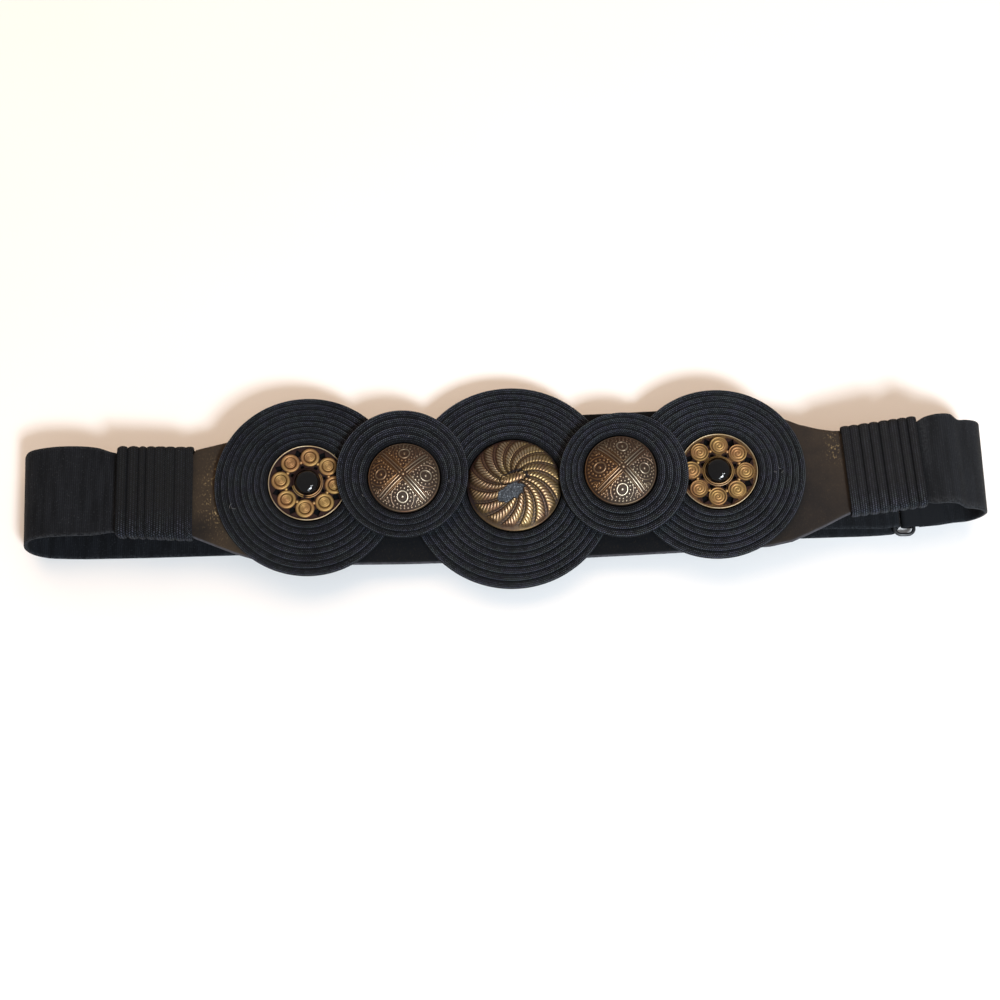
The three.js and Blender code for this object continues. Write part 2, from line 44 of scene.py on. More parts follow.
# What the whole belt shares, as in the solids: the clearance between pieces and their thicknesses
belt = {
    "gap": 0.3,
    "elasticThickness": 1.4,
    "leatherThickness": 1.6,
    "discBacking": 0.8,
    "braidLow": 2.05,
    "braidCrest": 1.0,
    "seatGap": 0.5,
}
discThickness = belt["braidLow"] + belt["braidCrest"]
lowerDiscLift = belt["leatherThickness"] + belt["gap"]
upperDiscLift = lowerDiscLift + discThickness + belt["gap"]
# How high the medallions sit in the lower and in the upper discs
seatLow = lowerDiscLift + belt["discBacking"] + belt["seatGap"]
seatHigh = upperDiscLift + belt["discBacking"] + belt["seatGap"]

# The line that the leather's underside follows, and the middle of the belt's width
frontLine = {
    "x": [-176, -160, -144, -127, -81, -40, 3, 45, 89, 118, 140, 155, 170],
    "height": [19.6, 19.6, 18.9, 17.2, 12.0, 9.2, 8.0, 9.3, 13.0, 17.4, 21.2, 24.2, 26.6],
    "middle": [1.2, 0.6, -0.3, -1.0, 0.2, 0.5, 0.5, 0.5, 0.3, -1.8, -0.75, 0.15, 1.25],
}


# A cubic through the rows of a table, with each row's slope taken from its two neighbours
def tableValue(table, column, x):
    xs = np.asarray(table["x"], float)
    values = np.asarray(table[column], float)
    slopes = np.gradient(values, xs, edge_order=1)
    slopes[1:-1] = (values[2:] - values[:-2]) / (xs[2:] - xs[:-2])
    k = np.clip(np.searchsorted(xs, x, side="left") - 1, 0, len(xs) - 2)
    span = xs[k + 1] - xs[k]
    t = (x - xs[k]) / span
    a, b, p, q = values[k], values[k + 1], slopes[k] * span, slopes[k + 1] * span
    return a + p * t + (3 * (b - a) - 2 * p - q) * t**2 + (2 * (a - b) + p + q) * t**3


def frontSlope(x):
    return np.arctan(tableValue(frontLine, "height", x + 0.5) - tableValue(frontLine, "height", x - 0.5))


# A point of the draped front: lift is measured square to the leather's underside
def drapedPoint(x, y, lift):
    x = np.asarray(x, float)
    slope = frontSlope(x)
    height = tableValue(frontLine, "height", x)
    return np.stack(np.broadcast_arrays(x - np.sin(slope) * lift, y, height + np.cos(slope) * lift), -1)


# Points of a stiff piece, turned to the slope of the front at its own middle and set there
def setOnFront(points, x, y, lift):
    slope = float(frontSlope(np.float64(x)))
    c, s = math.cos(slope), math.sin(slope)
    turn = np.array([[c, 0, -s], [0, 1, 0], [s, 0, c]])
    return points @ turn.T + drapedPoint(x, y, lift)


# A rounded ridge: one at the middle of its width, falling to nought at its edge as a circle does
def ridge(distance, width):
    return np.sqrt(np.clip(1 - (distance / width) ** 2, 0, 1))


def smoothStep(low, high, value):
    t = np.clip((value - low) / (high - low), 0, 1)
    return t * t * (3 - 2 * t)


# A few summed sines along an angle: a slow, seamless wobble between about minus one and one
def wobble(angle, seed, waves=5):
    pick = np.random.default_rng(seed)
    total = np.zeros_like(np.asarray(angle, float))
    for wave in range(2, 2 + waves):
        total = total + pick.uniform(0.4, 1) * np.sin(wave * angle + pick.uniform(0, turnCircle)) / wave**0.5
    return total / 2.2


# One grid of points as a part of a mesh: neighbours are joined, round both ways where it closes
def gridPart(points, closedU=False, closedV=False, uv=None, tone=0.0):
    rows, columns = points.shape[:2]
    spanU, spanV = rows - (not closedU), columns - (not closedV)
    i, j = np.meshgrid(np.arange(spanU), np.arange(spanV), indexing="ij")
    cornerU = np.stack([i, i + 1, i + 1, i], -1).reshape(-1, 4)
    cornerV = np.stack([j, j, j + 1, j + 1], -1).reshape(-1, 4)
    faces = (cornerU % rows) * columns + cornerV % columns
    if uv is None:
        uv = np.zeros((rows + closedU, columns + closedV, 2))
    toneGrid = np.broadcast_to(tone, (rows, columns)).reshape(-1)
    return {"points": points.reshape(-1, 3), "faces": faces, "uv": uv[cornerU, cornerV], "tone": toneGrid}


# Six times the volume inside a closed mesh, positive where its faces point outwards
def signedVolume(points, faces):
    a, b, c, d = (points[faces[:, k]] for k in range(4))
    return np.einsum("ij,ij->", a, np.cross(b, c)) + np.einsum("ij,ij->", a, np.cross(c, d))


def movedPart(part, points):
    return {**part, "points": points}


def seatedPart(part, x, y, lift):
    return movedPart(part, setOnFront(part["points"], x, y, lift))


# Parts joined in one mesh, each with its faces outwards, its seams and poles closed
def buildMesh(name, parts):
    points, faces, uvs, tones, start = [], [], [], [], 0
    for part in parts:
        order = [0, 1, 2, 3] if signedVolume(part["points"], part["faces"]) > 0 else [3, 2, 1, 0]
        points.append(part["points"])
        faces.append(part["faces"][:, order] + start)
        uvs.append(part["uv"][:, order])
        tones.append(part["tone"])
        start += len(part["points"])
    mesh = bpy.data.meshes.new(name)
    mesh.from_pydata((np.concatenate(points) * mm).tolist(), [], np.concatenate(faces).tolist())
    layer = mesh.uv_layers.new(name="weave")
    layer.data.foreach_set("uv", np.concatenate(uvs).astype(np.float32).ravel())
    toneLayer = mesh.attributes.new("tone", "FLOAT", "POINT")
    toneLayer.data.foreach_set("value", np.concatenate(tones).astype(np.float32))
    return closeSeams(mesh)


# Doubles merged and faces that fell together removed
def closeSeams(mesh):
    work = bmesh.new()
    work.from_mesh(mesh)
    bmesh.ops.remove_doubles(work, verts=work.verts, dist=2e-7)
    bmesh.ops.dissolve_degenerate(work, edges=work.edges, dist=1e-8)
    work.to_mesh(mesh)
    work.free()
    mesh.update()
    mesh.validate()
    return mesh


# A finished piece: smooth, riding on the belt, and standing for its solid
def addPiece(name, mesh, material, node, slot, sharpAngle=50):
    mesh.materials.append(material)
    piece = bpy.data.objects.new(name, mesh)
    bpy.context.scene.collection.objects.link(piece)
    mesh.polygons.foreach_set("use_smooth", np.ones(len(mesh.polygons), bool))
    mesh.set_sharp_from_angle(angle=math.radians(sharpAngle))
    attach(piece, "root")
    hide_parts(node)
    print(name, "faces:", len(mesh.polygons))
    return piece


def addParts(name, parts, *look):
    return addPiece(name, buildMesh(name, parts), *look)


# Materials: small helpers that put one node each into a tree and return its output


def place(tree, kind, inputs=None, output=0, **settings):
    node = tree.nodes.new(kind)
    for key, value in settings.items():
        setattr(node, key, value)
    for key, value in (inputs or {}).items():
        socket = node.inputs[key]
        if isinstance(value, bpy.types.NodeSocket):
            tree.links.new(value, socket)
        elif value is not None:
            socket.default_value = value
    return node.outputs[output]


def calculate(tree, operation, a, b=None):
    return place(tree, "ShaderNodeMath", {0: a, 1: b}, operation=operation)


def times(tree, a, b):
    return calculate(tree, "MULTIPLY", a, b)


def plus(tree, a, b):
    return calculate(tree, "ADD", a, b)


def mixValues(tree, share, first, second):
    return place(tree, "ShaderNodeMix", {0: share, 2: first, 3: second}, 0, data_type="FLOAT")


def blendColours(tree, share, first, second):
    fixed = lambda colour: (*colour, 1) if isinstance(colour, tuple) and len(colour) == 3 else colour
    inputs = {0: share, 6: fixed(first), 7: fixed(second)}
    return place(tree, "ShaderNodeMix", inputs, 2, data_type="RGBA", clamp_factor=True)


def remap(tree, value, fromLow, fromHigh, toLow=0.0, toHigh=1.0):
    return place(tree, "ShaderNodeMapRange", {0: value, 1: fromLow, 2: fromHigh, 3: toLow, 4: toHigh})


def noise(tree, where, scale, detail=3.0, roughness=0.55, stretch=None):
    if stretch:
        where = place(tree, "ShaderNodeMapping", {0: where, 3: stretch})
    return place(tree, "ShaderNodeTexNoise",
                 {"Vector": where, "Scale": scale, "Detail": detail, "Roughness": roughness})


def cells(tree, where, scale):
    return place(tree, "ShaderNodeTexVoronoi", {"Vector": where, "Scale": scale})


def objectPlace(tree):
    return place(tree, "ShaderNodeTexCoord", output=3)


# How far a place has come along one axis, from one value at the first place to another at the last
def alongAxis(tree, where, axis, start, end, low=0.0, high=1.0):
    return remap(tree, place(tree, "ShaderNodeSeparateXYZ", {0: where}, axis), start, end, low, high)


def weavePlace(tree):
    parts = tree.nodes.new("ShaderNodeSeparateXYZ")
    tree.links.new(place(tree, "ShaderNodeUVMap", uv_map="weave"), parts.inputs[0])
    return parts.outputs[0], parts.outputs[1]


def tone(tree):
    return place(tree, "ShaderNodeAttribute", output=2, attribute_name="tone")


# A material with one principled shader: fixed sockets by name, then colour, roughness and height
def finishMaterial(name, build, bump=0.1, **fixed):
    material = bpy.data.materials.new(name)
    material.use_nodes = True
    tree = material.node_tree
    tree.nodes.clear()
    shader = tree.nodes.new("ShaderNodeBsdfPrincipled")
    output = tree.nodes.new("ShaderNodeOutputMaterial")
    tree.links.new(shader.outputs[0], output.inputs[0])
    for key, value in fixed.items():
        shader.inputs[socketNames[key]].default_value = value
    made = build(tree)
    tree.links.new(made["colour"], shader.inputs["Base Color"])
    tree.links.new(made["roughness"], shader.inputs["Roughness"])
    if "metallic" in made:
        tree.links.new(made["metallic"], shader.inputs["Metallic"])
    if "height" in made:
        normal = place(tree, "ShaderNodeBump",
                       {"Strength": 1.0, "Distance": bump * mm, "Height": made["height"]})
        tree.links.new(normal, shader.inputs["Normal"])
    return material


socketNames = {
    "metallic": "Metallic",
    "specular": "Specular IOR Level",
    "sheen": "Sheen Weight",
    "sheenRoughness": "Sheen Roughness",
}

braidLook = {"dark": (0.0018, 0.0021, 0.0030), "thread": (0.058, 0.065, 0.096),
             "green": (0.055, 0.069, 0.080),
             "felt": (0.0080, 0.0085, 0.0100), "nap": (0.0108, 0.0114, 0.0122),
             "napRight": (0.0165, 0.0170, 0.0190), "lint": (0.20, 0.21, 0.22), "rows": 4.0, "groove": 0.34}


# Flat braid: u counts stitches along it, v counts turns across it. Rows of stitches run side by
# side in each turn, slanting opposite ways, each stitch of its own brightness, and the turns part
# in grooves darkened by painted shade. Stitches carry a painted highlight on the crest of a turn and
# are brighter towards the belt's right. Round the seat a painted shadow darkens them, and the top of
# a wrap is flattened under a paler nap. The tone is one on lint, minus one on the felt backing, and
# on a wrap 0.2 to 0.35, highest in its grooves, where it sets their painted shade.
def braidNodes(tree):
    along, across = weavePlace(tree)
    where = objectPlace(tree)
    inTurn = calculate(tree, "FRACT", across)
    row = times(tree, across, braidLook["rows"])
    rowIndex = calculate(tree, "FLOOR", row)
    inRow = calculate(tree, "SUBTRACT", calculate(tree, "FRACT", row), 0.5)
    side = calculate(tree, "SUBTRACT", calculate(tree, "MODULO", rowIndex, 2.0), 0.5)
    slant = times(tree, side, plus(tree, times(tree, inRow, 1.3), 0.5))
    phase = plus(tree, along, slant)
    stitch = calculate(tree, "ABSOLUTE", calculate(tree, "SINE", times(tree, phase, math.pi)))
    belly = remap(tree, calculate(tree, "ABSOLUTE", inRow), 0.5, 0.15)
    raised = times(tree, stitch, belly)
    cell = place(tree, "ShaderNodeCombineXYZ", {0: calculate(tree, "FLOOR", phase), 1: rowIndex})
    own = remap(tree, place(tree, "ShaderNodeTexWhiteNoise", {"Vector": cell}), 0.0, 1.0, 0.45, 1.5)
    patchy = remap(tree, noise(tree, where, 70.0, 3.0), 0.35, 0.65, 0.8, 1.2)
    onWrap = remap(tree, tone(tree), 0.1, 0.2)
    # Painted highlight: stitches on the crest of a turn are made brighter, as where light catches it; on a
    # wrap it is held even
    crestHighlight = remap(tree, inTurn, 0.62, 0.74, 0.72, 1.75)
    crestHighlight = mixValues(tree, onWrap, crestHighlight, 0.85)
    rightwards = alongAxis(tree, where, 0, -0.12, 0.10, 0.70, 1.32)
    lower = alongAxis(tree, where, 1, -0.006, -0.017, 0.55, 1.15)
    faded = mixValues(tree, onWrap, 1.0, lower)
    own = times(tree, times(tree, own, rightwards), times(tree, crestHighlight, faded))
    greener = remap(tree, noise(tree, where, 240.0, 3.0), 0.4, 0.6)
    hue = blendColours(tree, greener, braidLook["thread"], braidLook["green"])
    light = times(tree, calculate(tree, "POWER", raised, 2.1), times(tree, own, patchy))
    colour = blendColours(tree, light, braidLook["dark"], hue)
    # Painted shade: the grooves between turns and the step at each turn's outer edge are darkened in colour,
    # and on a wrap the tone sets this shade
    stepShade = remap(tree, calculate(tree, "ABSOLUTE", calculate(tree, "SUBTRACT", inTurn, 0.54)), 0.41, 0.50)
    gap = calculate(tree, "MAXIMUM", remap(tree, inTurn, braidLook["groove"], 0.02), stepShade)
    depth = remap(tree, noise(tree, where, 28.0, 3.0), 0.4, 0.6, 0.7, 1.0)
    gap = mixValues(tree, onWrap, times(tree, gap, depth), remap(tree, tone(tree), 0.21, 0.33))
    flattened = times(tree, remap(tree, lower, 0.55, 1.15, 0.62, 0.1), onWrap)
    toRight = alongAxis(tree, where, 0, -0.05, 0.12)
    nap = blendColours(tree, toRight, braidLook["nap"], braidLook["napRight"])
    colour = blendColours(tree, flattened, colour, nap)
    # Painted shadow: the inner turns round the medallion's seat are darkened as the medallion's shadow would
    # darken them
    seatShadow = times(tree, remap(tree, across, 0.7, 0.1, 0.0, 0.8), calculate(tree, "SUBTRACT", 1.0, onWrap))
    colour = blendColours(tree, calculate(tree, "MAXIMUM", gap, seatShadow), colour, braidLook["dark"])
    felt = remap(tree, tone(tree), -0.4, -0.6)
    colour = blendColours(tree, felt, colour, braidLook["felt"])
    colour = blendColours(tree, remap(tree, tone(tree), 0.4, 0.6), colour, braidLook["lint"])
    fluff = noise(tree, where, 900.0, 4.0)
    weave = times(tree, raised, calculate(tree, "SUBTRACT", 1.0, felt))
    height = plus(tree, weave, times(tree, fluff, 0.6))
    return {"colour": colour, "roughness": remap(tree, fluff, 0.3, 0.7, 0.65, 0.9), "height": height}


elasticLook = {"dark": (0.0034, 0.0040, 0.0054), "rib": (0.0095, 0.0110, 0.0145),
               "fuzz": (0.040, 0.045, 0.052)}


# Woven elastic: u and v are millimetres along and across. Fine ribs run across the band, threads
# cross them, and both selvedges are fuzzier and paler.
def elasticNodes(tree):
    along, across = weavePlace(tree)
    where = objectPlace(tree)
    ribs = calculate(tree, "SINE", times(tree, along, turnCircle / 0.85))
    threads = calculate(tree, "SINE", times(tree, across, turnCircle / 0.62))
    weave = remap(tree, plus(tree, ribs, times(tree, threads, 0.6)), -1.6, 1.6)
    streak = noise(tree, where, 420.0, 3.0, stretch=(1.0, 0.12, 1.0))
    fluff = noise(tree, where, 1100.0, 3.0)
    rib = times(tree, weave, remap(tree, streak, 0.35, 0.68, 0.1, 1.7))
    colour = blendColours(tree, rib, elasticLook["dark"], elasticLook["rib"])
    fuzz = times(tree, tone(tree), remap(tree, fluff, 0.4, 0.65))
    colour = blendColours(tree, times(tree, fuzz, 0.6), colour, elasticLook["fuzz"])
    rightwards = alongAxis(tree, where, 0, 0.10, 0.17, 0.0, 0.11)
    colour = blendColours(tree, rightwards, colour, elasticLook["fuzz"])
    flecks = remap(tree, noise(tree, where, 1900.0, 2.0), 0.62, 0.72, 0.0, 0.5)
    colour = blendColours(tree, flecks, colour, elasticLook["fuzz"])
    height = plus(tree, weave, times(tree, fluff, 0.6))
    return {"colour": colour, "roughness": remap(tree, fluff, 0.3, 0.7, 0.7, 0.95), "height": height}


leatherLook = {"dye": (0.020, 0.0155, 0.0125), "worn": (0.042, 0.030, 0.0195),
               "black": (0.0031, 0.0038, 0.0055),
               "edge": (0.062, 0.062, 0.072), "scuff": (0.36, 0.27, 0.14)}


# Leather: u is how much brown shows through the black dye, v is how near the cut edge lies, and
# the tone is where it is scuffed. The pale cut edge is a raw edge and painted light in one,
# strongest on the front edge, which faces the window.
def leatherNodes(tree):
    brown, edge = weavePlace(tree)
    where = objectPlace(tree)
    cloud = noise(tree, where, 45.0, 5.0, 0.6)
    pores = cells(tree, where, 1500.0)
    creases = noise(tree, where, 260.0, 5.0, 0.7, stretch=(0.35, 1.0, 1.0))
    dyed = blendColours(tree, remap(tree, cloud, 0.36, 0.72), leatherLook["dye"], leatherLook["worn"])
    colour = blendColours(tree, brown, leatherLook["black"], dyed)
    # Greyer towards the belt's right end
    greyerToRight = alongAxis(tree, where, 0, 0.09, 0.125, 0.0, 0.07)
    colour = blendColours(tree, greyerToRight, colour, leatherLook["edge"])
    scratch = noise(tree, where, 1700.0, 3.0, 0.6, stretch=(1.0, 0.6, 1.0))
    marks = times(tree, remap(tree, scratch, 0.57, 0.67), tone(tree))
    colour = blendColours(tree, times(tree, marks, 0.75), colour, leatherLook["scuff"])
    # The pale edge is the raw cut edge's colour and painted window light in one
    rawAndLitEdge = times(tree, edge, remap(tree, noise(tree, where, 500.0, 3.0), 0.3, 0.6, 0.55, 1.0))
    colour = blendColours(tree, rawAndLitEdge, colour, leatherLook["edge"])
    height = plus(tree, creases, times(tree, pores, 0.5))
    rough = plus(tree, remap(tree, cloud, 0.3, 0.7, 0.5, 0.66), times(tree, edge, 0.3))
    return {"colour": colour, "roughness": rough, "height": height}


# Cast metal: the tone is the height of the relief, which is dark in the hollows and rubbed
# bright on top; a slow noise turns patches redder or greyer. The uv's u lays a painted warm
# reflection of the room over one side, and less is rubbed bright there.
def castNodes(look):
    def build(tree):
        where = objectPlace(tree)
        relief = tone(tree)
        grime = noise(tree, where, 1300.0, 4.0, 0.65)
        patches = noise(tree, where, 110.0, 3.0)
        lifted = plus(tree, relief, times(tree, calculate(tree, "SUBTRACT", grime, 0.5), look["grain"]))
        # Painted reflection: u is the share of a warm tint that stands in for the room mirrored in the metal
        warmReflection, _ = weavePlace(tree)
        middle = blendColours(tree, remap(tree, patches, 0.4, 0.65), look["body"], look["patch"])
        middle = blendColours(tree, warmReflection, middle, look["warmReflection"])
        hollow = blendColours(tree, warmReflection, look["hollow"], look["warmReflectionHollow"])
        colour = blendColours(tree, remap(tree, lifted, *look["bodyRange"]), hollow, middle)
        rubbed = times(tree, remap(tree, lifted, *look["rubRange"]), remap(tree, warmReflection, 0.0, 1.0, 1.0, 0.5))
        colour = blendColours(tree, rubbed, colour, look["rubbed"])
        crumbs = noise(tree, where, 1500.0, 4.0, 0.7)
        ground = blendColours(tree, remap(tree, crumbs, 0.38, 0.54), bareGround["dark"], bareGround["grey"])
        ground = blendColours(tree, remap(tree, crumbs, 0.58, 0.68), ground, bareGround["speck"])
        colour = blendColours(tree, remap(tree, relief, -0.1, -0.5), colour, ground)
        rough = remap(tree, lifted, 0.2, 1.0, look["roughLow"], look["roughHigh"])
        metal = remap(tree, lifted, 0.1, 0.5, 0.35, 1.0)
        height = plus(tree, times(tree, grime, 0.8), patches)
        return {"colour": colour, "roughness": rough, "metallic": metal, "height": height}
    return build


bronzeLook = {"hollow": (0.036, 0.025, 0.019), "body": (0.155, 0.112, 0.072), "patch": (0.155, 0.085, 0.055),
              "warmReflection": (0.225, 0.112, 0.046), "warmReflectionHollow": (0.034, 0.019, 0.013),
              "rubbed": (0.46, 0.40, 0.31),
              "bodyRange": (0.10, 0.55), "rubRange": (0.62, 1.15), "grain": 0.35, "roughLow": 0.6,
              "roughHigh": 0.40}
ropeLook = {**bronzeLook, "hollow": (0.020, 0.013, 0.013), "body": (0.330, 0.225, 0.100),
            "patch": (0.245, 0.140, 0.085),
            "warmReflection": (0.23, 0.125, 0.078), "warmReflectionHollow": (0.045, 0.022, 0.024), "rubbed": (0.60, 0.49, 0.34),
            "bodyRange": (0.18, 0.66), "rubRange": (0.80, 1.16)}
goldLook = {"hollow": (0.022, 0.011, 0.010), "body": (0.385, 0.240, 0.092), "patch": (0.365, 0.190, 0.085),
            "warmReflection": (0.35, 0.2, 0.1), "warmReflectionHollow": (0.022, 0.011, 0.011), "rubbed": (0.50, 0.40, 0.27),
            "bodyRange": (0.26, 0.6), "rubRange": (0.90, 1.15), "grain": 0.26, "roughLow": 0.75,
            "roughHigh": 0.58}
# The grey ground that shows where the cast is worn through, and the specks on it
bareGround = {"dark": (0.008, 0.010, 0.014), "grey": (0.038, 0.047, 0.060), "speck": (0.24, 0.27, 0.31)}


# Black glass: barely lighter clouds under a clean polish
def glassNodes(tree):
    cloud = noise(tree, objectPlace(tree), 350.0, 3.0)
    colour = blendColours(tree, cloud, (0.0018, 0.0018, 0.0022), (0.0045, 0.0045, 0.0052))
    return {"colour": colour, "roughness": remap(tree, cloud, 0.3, 0.7, 0.03, 0.07)}


# Coated wire: black, a little uneven, scraped paler in a few spots
def wireNodes(tree):
    where = objectPlace(tree)
    uneven = noise(tree, where, 500.0, 3.0)
    colour = blendColours(tree, remap(tree, uneven, 0.66, 0.72), (0.018, 0.019, 0.022), (0.06, 0.06, 0.062))
    return {"colour": colour, "roughness": remap(tree, uneven, 0.3, 0.7, 0.3, 0.5), "height": uneven}


# The hook's plate, cased in the same black cloth as the elastic: even, with a faint weave
def plateNodes(tree):
    fluff = noise(tree, objectPlace(tree), 1300.0, 3.0)
    colour = blendColours(tree, fluff, elasticLook["dark"], elasticLook["rib"])
    return {"colour": colour, "roughness": remap(tree, fluff, 0.3, 0.7, 0.7, 0.95), "height": fluff}


# Pale painted floor with a breath of unevenness
def floorNodes(tree):
    cloud = noise(tree, objectPlace(tree), 9.0, 3.0)
    colour = blendColours(tree, cloud, (0.80, 0.80, 0.81), (0.83, 0.83, 0.84))
    return {"colour": colour, "roughness": remap(tree, cloud, 0.3, 0.7, 0.6, 0.7)}


braidMaterial = finishMaterial("blackBraid", braidNodes, bump=0.22, specular=0.08, sheen=0.02,
                               sheenRoughness=0.45)
elasticMaterial = finishMaterial("blackElastic", elasticNodes, bump=0.08, specular=0.08, sheen=0.02,
                                 sheenRoughness=0.5)
leatherMaterial = finishMaterial("brownLeather", leatherNodes, bump=0.08, specular=0.10)
bronzeMaterial = finishMaterial("antiqueBronze", castNodes(bronzeLook), bump=0.03, specular=0.2)
ropeMaterial = finishMaterial("ropeBronze", castNodes(ropeLook), bump=0.03)
goldMaterial = finishMaterial("antiqueGold", castNodes(goldLook), bump=0.04, specular=0.15)
glassMaterial = finishMaterial("blackGlass", glassNodes, specular=0.35)
wireMaterial = finishMaterial("coatedWire", wireNodes, bump=0.02, metallic=0.2)
plateMaterial = finishMaterial("blackPlate", plateNodes, bump=0.05, specular=0.15)
floorMaterial = finishMaterial("paleFloor", floorNodes)
print("materials made")

# Coiled discs: places and sizes as in the solids; the heart is the seat of the medallion
coilDiscs = [
    {"node": "disc_left_large", "x": -81.1, "y": 1.8, "radius": 38.0, "turns": 8, "upper": False,
     "heart": (-81.5, 3.0, 16.6), "lint": [(-31, -9, 2.6, 70), (-30, -9.6, 2.2, 165)]},
    {"node": "disc_left_small", "x": -42.2, "y": 5.8, "radius": 27.4, "turns": 4, "upper": True,
     "heart": (-41.5, 3.8, 15.5), "lint": [(-16.2, -9.5, 1.4, 120), (19.5, -4, 1.2, 80), (3, 15.6, 0.7, 20)]},
    {"node": "disc_centre", "x": 3.2, "y": 0.0, "radius": 43.3, "turns": 8, "upper": False,
     "heart": (4.4, 0.5, 20.3), "lint": [(17, -25, 0.9, 40), (-21, 11, 0.7, 100)]},
    {"node": "disc_right_small", "x": 50.2, "y": 2.5, "radius": 26.8, "turns": 4, "upper": True,
     "heart": (48.9, 4.0, 15.5), "lint": [(13, 13, 0.8, 10)]},
    {"node": "disc_right_large", "x": 88.2, "y": 1.8, "radius": 36.2, "turns": 7, "upper": False,
     "heart": (89.3, 2.5, 16.6), "lint": [(26, 0, 1.6, 130), (27, -2, 1.4, 60), (24, -1.5, 1.2, 170)]},
]
coil = {"sides": 320, "plait": 0.86, "cordRise": 0.08, "sway": 0.20, "unevenRise": 0.09, "lintWire": 0.055}
turnSteps = np.array([0.0, 0.05, 0.12, 0.2, 0.3, 0.4, 0.46, 0.5, 0.54, 0.6, 0.7, 0.8, 0.88, 0.94, 0.975, 1.0])


# Height across one turn, from its inner to its outer edge: a ramp that climbs outwards, the
# three rows of stitches on it, and a rolled edge that drops to the next turn.
def turnRise(t):
    ramp = 0.06 + 0.80 * t
    rows = coil["cordRise"] * ridge((t * braidLook["rows"]) % 1 - 0.5, 0.52)
    rolled = 1 - smoothStep(0.88, 1.05, t)
    return (ramp + rows) * (0.15 + 0.85 * rolled)


# A bent thread of lint that lies on a disc: a thin round bar along a shallow arc
def lintThread(disc, x, y, length, degrees):
    along = np.linspace(-0.5, 0.5, 9)[:, None] * length
    aside = 0.22 * length * (1 - (2 * along / length) ** 2)
    around = np.linspace(0, turnCircle, 6, endpoint=False)
    wire = coil["lintWire"] * (1 - 0.96 * (np.abs(along) * 2 / length) ** 6)
    turn = math.radians(degrees)
    aside = aside + wire * np.cos(around)
    px = disc["x"] + x + along * math.cos(turn) - aside * math.sin(turn)
    py = disc["y"] + y + along * math.sin(turn) + aside * math.cos(turn)
    lift = (upperDiscLift if disc["upper"] else lowerDiscLift) + discThickness + 0.1 + wire * np.sin(around)
    return gridPart(drapedPoint(px, py, lift), closedV=True, tone=1.0)


# A coil is one profile carried round the disc: across the seat, up its wall, over every turn,
# round the rim and back under. Rings drift from the heart's middle to the disc's own middle.
def coilDisc(disc):
    heartX, heartY, heartRadius = disc["heart"]
    low, backing, radius, turns = belt["braidLow"], belt["discBacking"], disc["radius"], disc["turns"]
    pitch = (radius - heartRadius) / turns
    turn = np.repeat(np.arange(turns), len(turnSteps))
    t = np.tile(turnSteps, turns)
    rho = heartRadius + (turn + t) * pitch
    rise = low + belt["braidCrest"] * turnRise(t)
    seat = [(0, backing), (heartRadius * 0.6, backing), (heartRadius, backing), (heartRadius, low * 0.8)]
    under = [(radius, low * 0.95), (radius + 0.05, low * 0.6), (radius - 0.15, 0.5), (radius - 0.7, 0),
             (radius * 0.5, 0), (0, 0)]
    rho = np.concatenate([[p[0] for p in seat], rho, [p[0] for p in under]])
    rise = np.concatenate([[p[1] for p in seat], rise, [p[1] for p in under]])
    isTurn = np.zeros(len(rho), bool)
    isTurn[len(seat):len(seat) + len(t)] = True
    across = np.concatenate([np.zeros(len(seat)), turn + t * 0.999, np.full(len(under), turns + 0.2)])
    middles = heartRadius + (np.floor(across) + 0.5) * pitch
    plaits = np.round(turnCircle * np.maximum(middles, 1) / coil["plait"])
    angle = np.linspace(0, turnCircle, coil["sides"], endpoint=False)
    seed = int(radius * 10)
    share = np.clip((rho - heartRadius) / (radius - heartRadius), 0, 1)
    edgeFree = np.sin(np.pi * np.clip(share, 0, 1)) ** 0.5
    ring = np.floor(across).astype(int)
    sway = np.stack([wobble(angle + 0.9 * k, seed + k) for k in np.minimum(ring, turns - 1)], 1)
    waver = np.stack([wobble(angle * 2 + k, seed + 50 + k) for k in ring], 1)
    spread = rho + coil["sway"] * sway * edgeFree * isTurn
    lifted = rise + coil["unevenRise"] * waver * isTurn
    x = (heartX + (disc["x"] - heartX) * share) + np.cos(angle)[:, None] * spread
    y = (heartY + (disc["y"] - heartY) * share) + np.sin(angle)[:, None] * spread
    points = drapedPoint(x, y, (upperDiscLift if disc["upper"] else lowerDiscLift) + lifted)
    around = np.linspace(0, 1, coil["sides"] + 1)[:, None] * plaits[None, :]
    uv = np.stack([around, np.broadcast_to(across, around.shape)], -1)
    backingTone = np.where(np.arange(len(rho)) >= len(rho) - 4, -1.0, 0.0)[None, :]
    parts = [gridPart(points, closedU=True, uv=uv, tone=backingTone)]
    parts += [lintThread(disc, *thread) for thread in disc["lint"]]
    addParts(disc["node"] + "_coil", parts, braidMaterial, disc["node"], "braid")


for disc in coilDiscs:
    coilDisc(disc)
print("coiled discs made")

# The leather's cut outline, and its grid in millimetres
leatherCut = {
    "x": [-156, -128.4, -127.3, -110.7, -100, -88, -40, 96, 108, 116.8, 123.5, 131, 136.8, 139.5, 139.65,
          140.5, 140.65, 166],
    "top": [17.2, 15.8, 17.9, 22.4, 26.8, 31.3, 31.3, 31.3, 28.2, 24.4, 20.9, 18.3, 16.9, 16.75, 15.4,
            15.4, 15.4, 16.8],
    "bottom": [-16.3, -17.8, -19.4, -26.1, -29.4, -30.9, -31.2, -30.2, -30.0, -28.6, -26.0, -22.9, -20.2,
               -19.1, -19.05, -18.7, -17.4, -15.8],
}
leather = {"step": 1.5, "edgeWidth": 0.62, "edgeDrop": 0.5,
           "scuffs": [(-118, 0, 5, 10), (-115, -8, 4.5, 8), (136.5, 11, 2.2, 6)]}


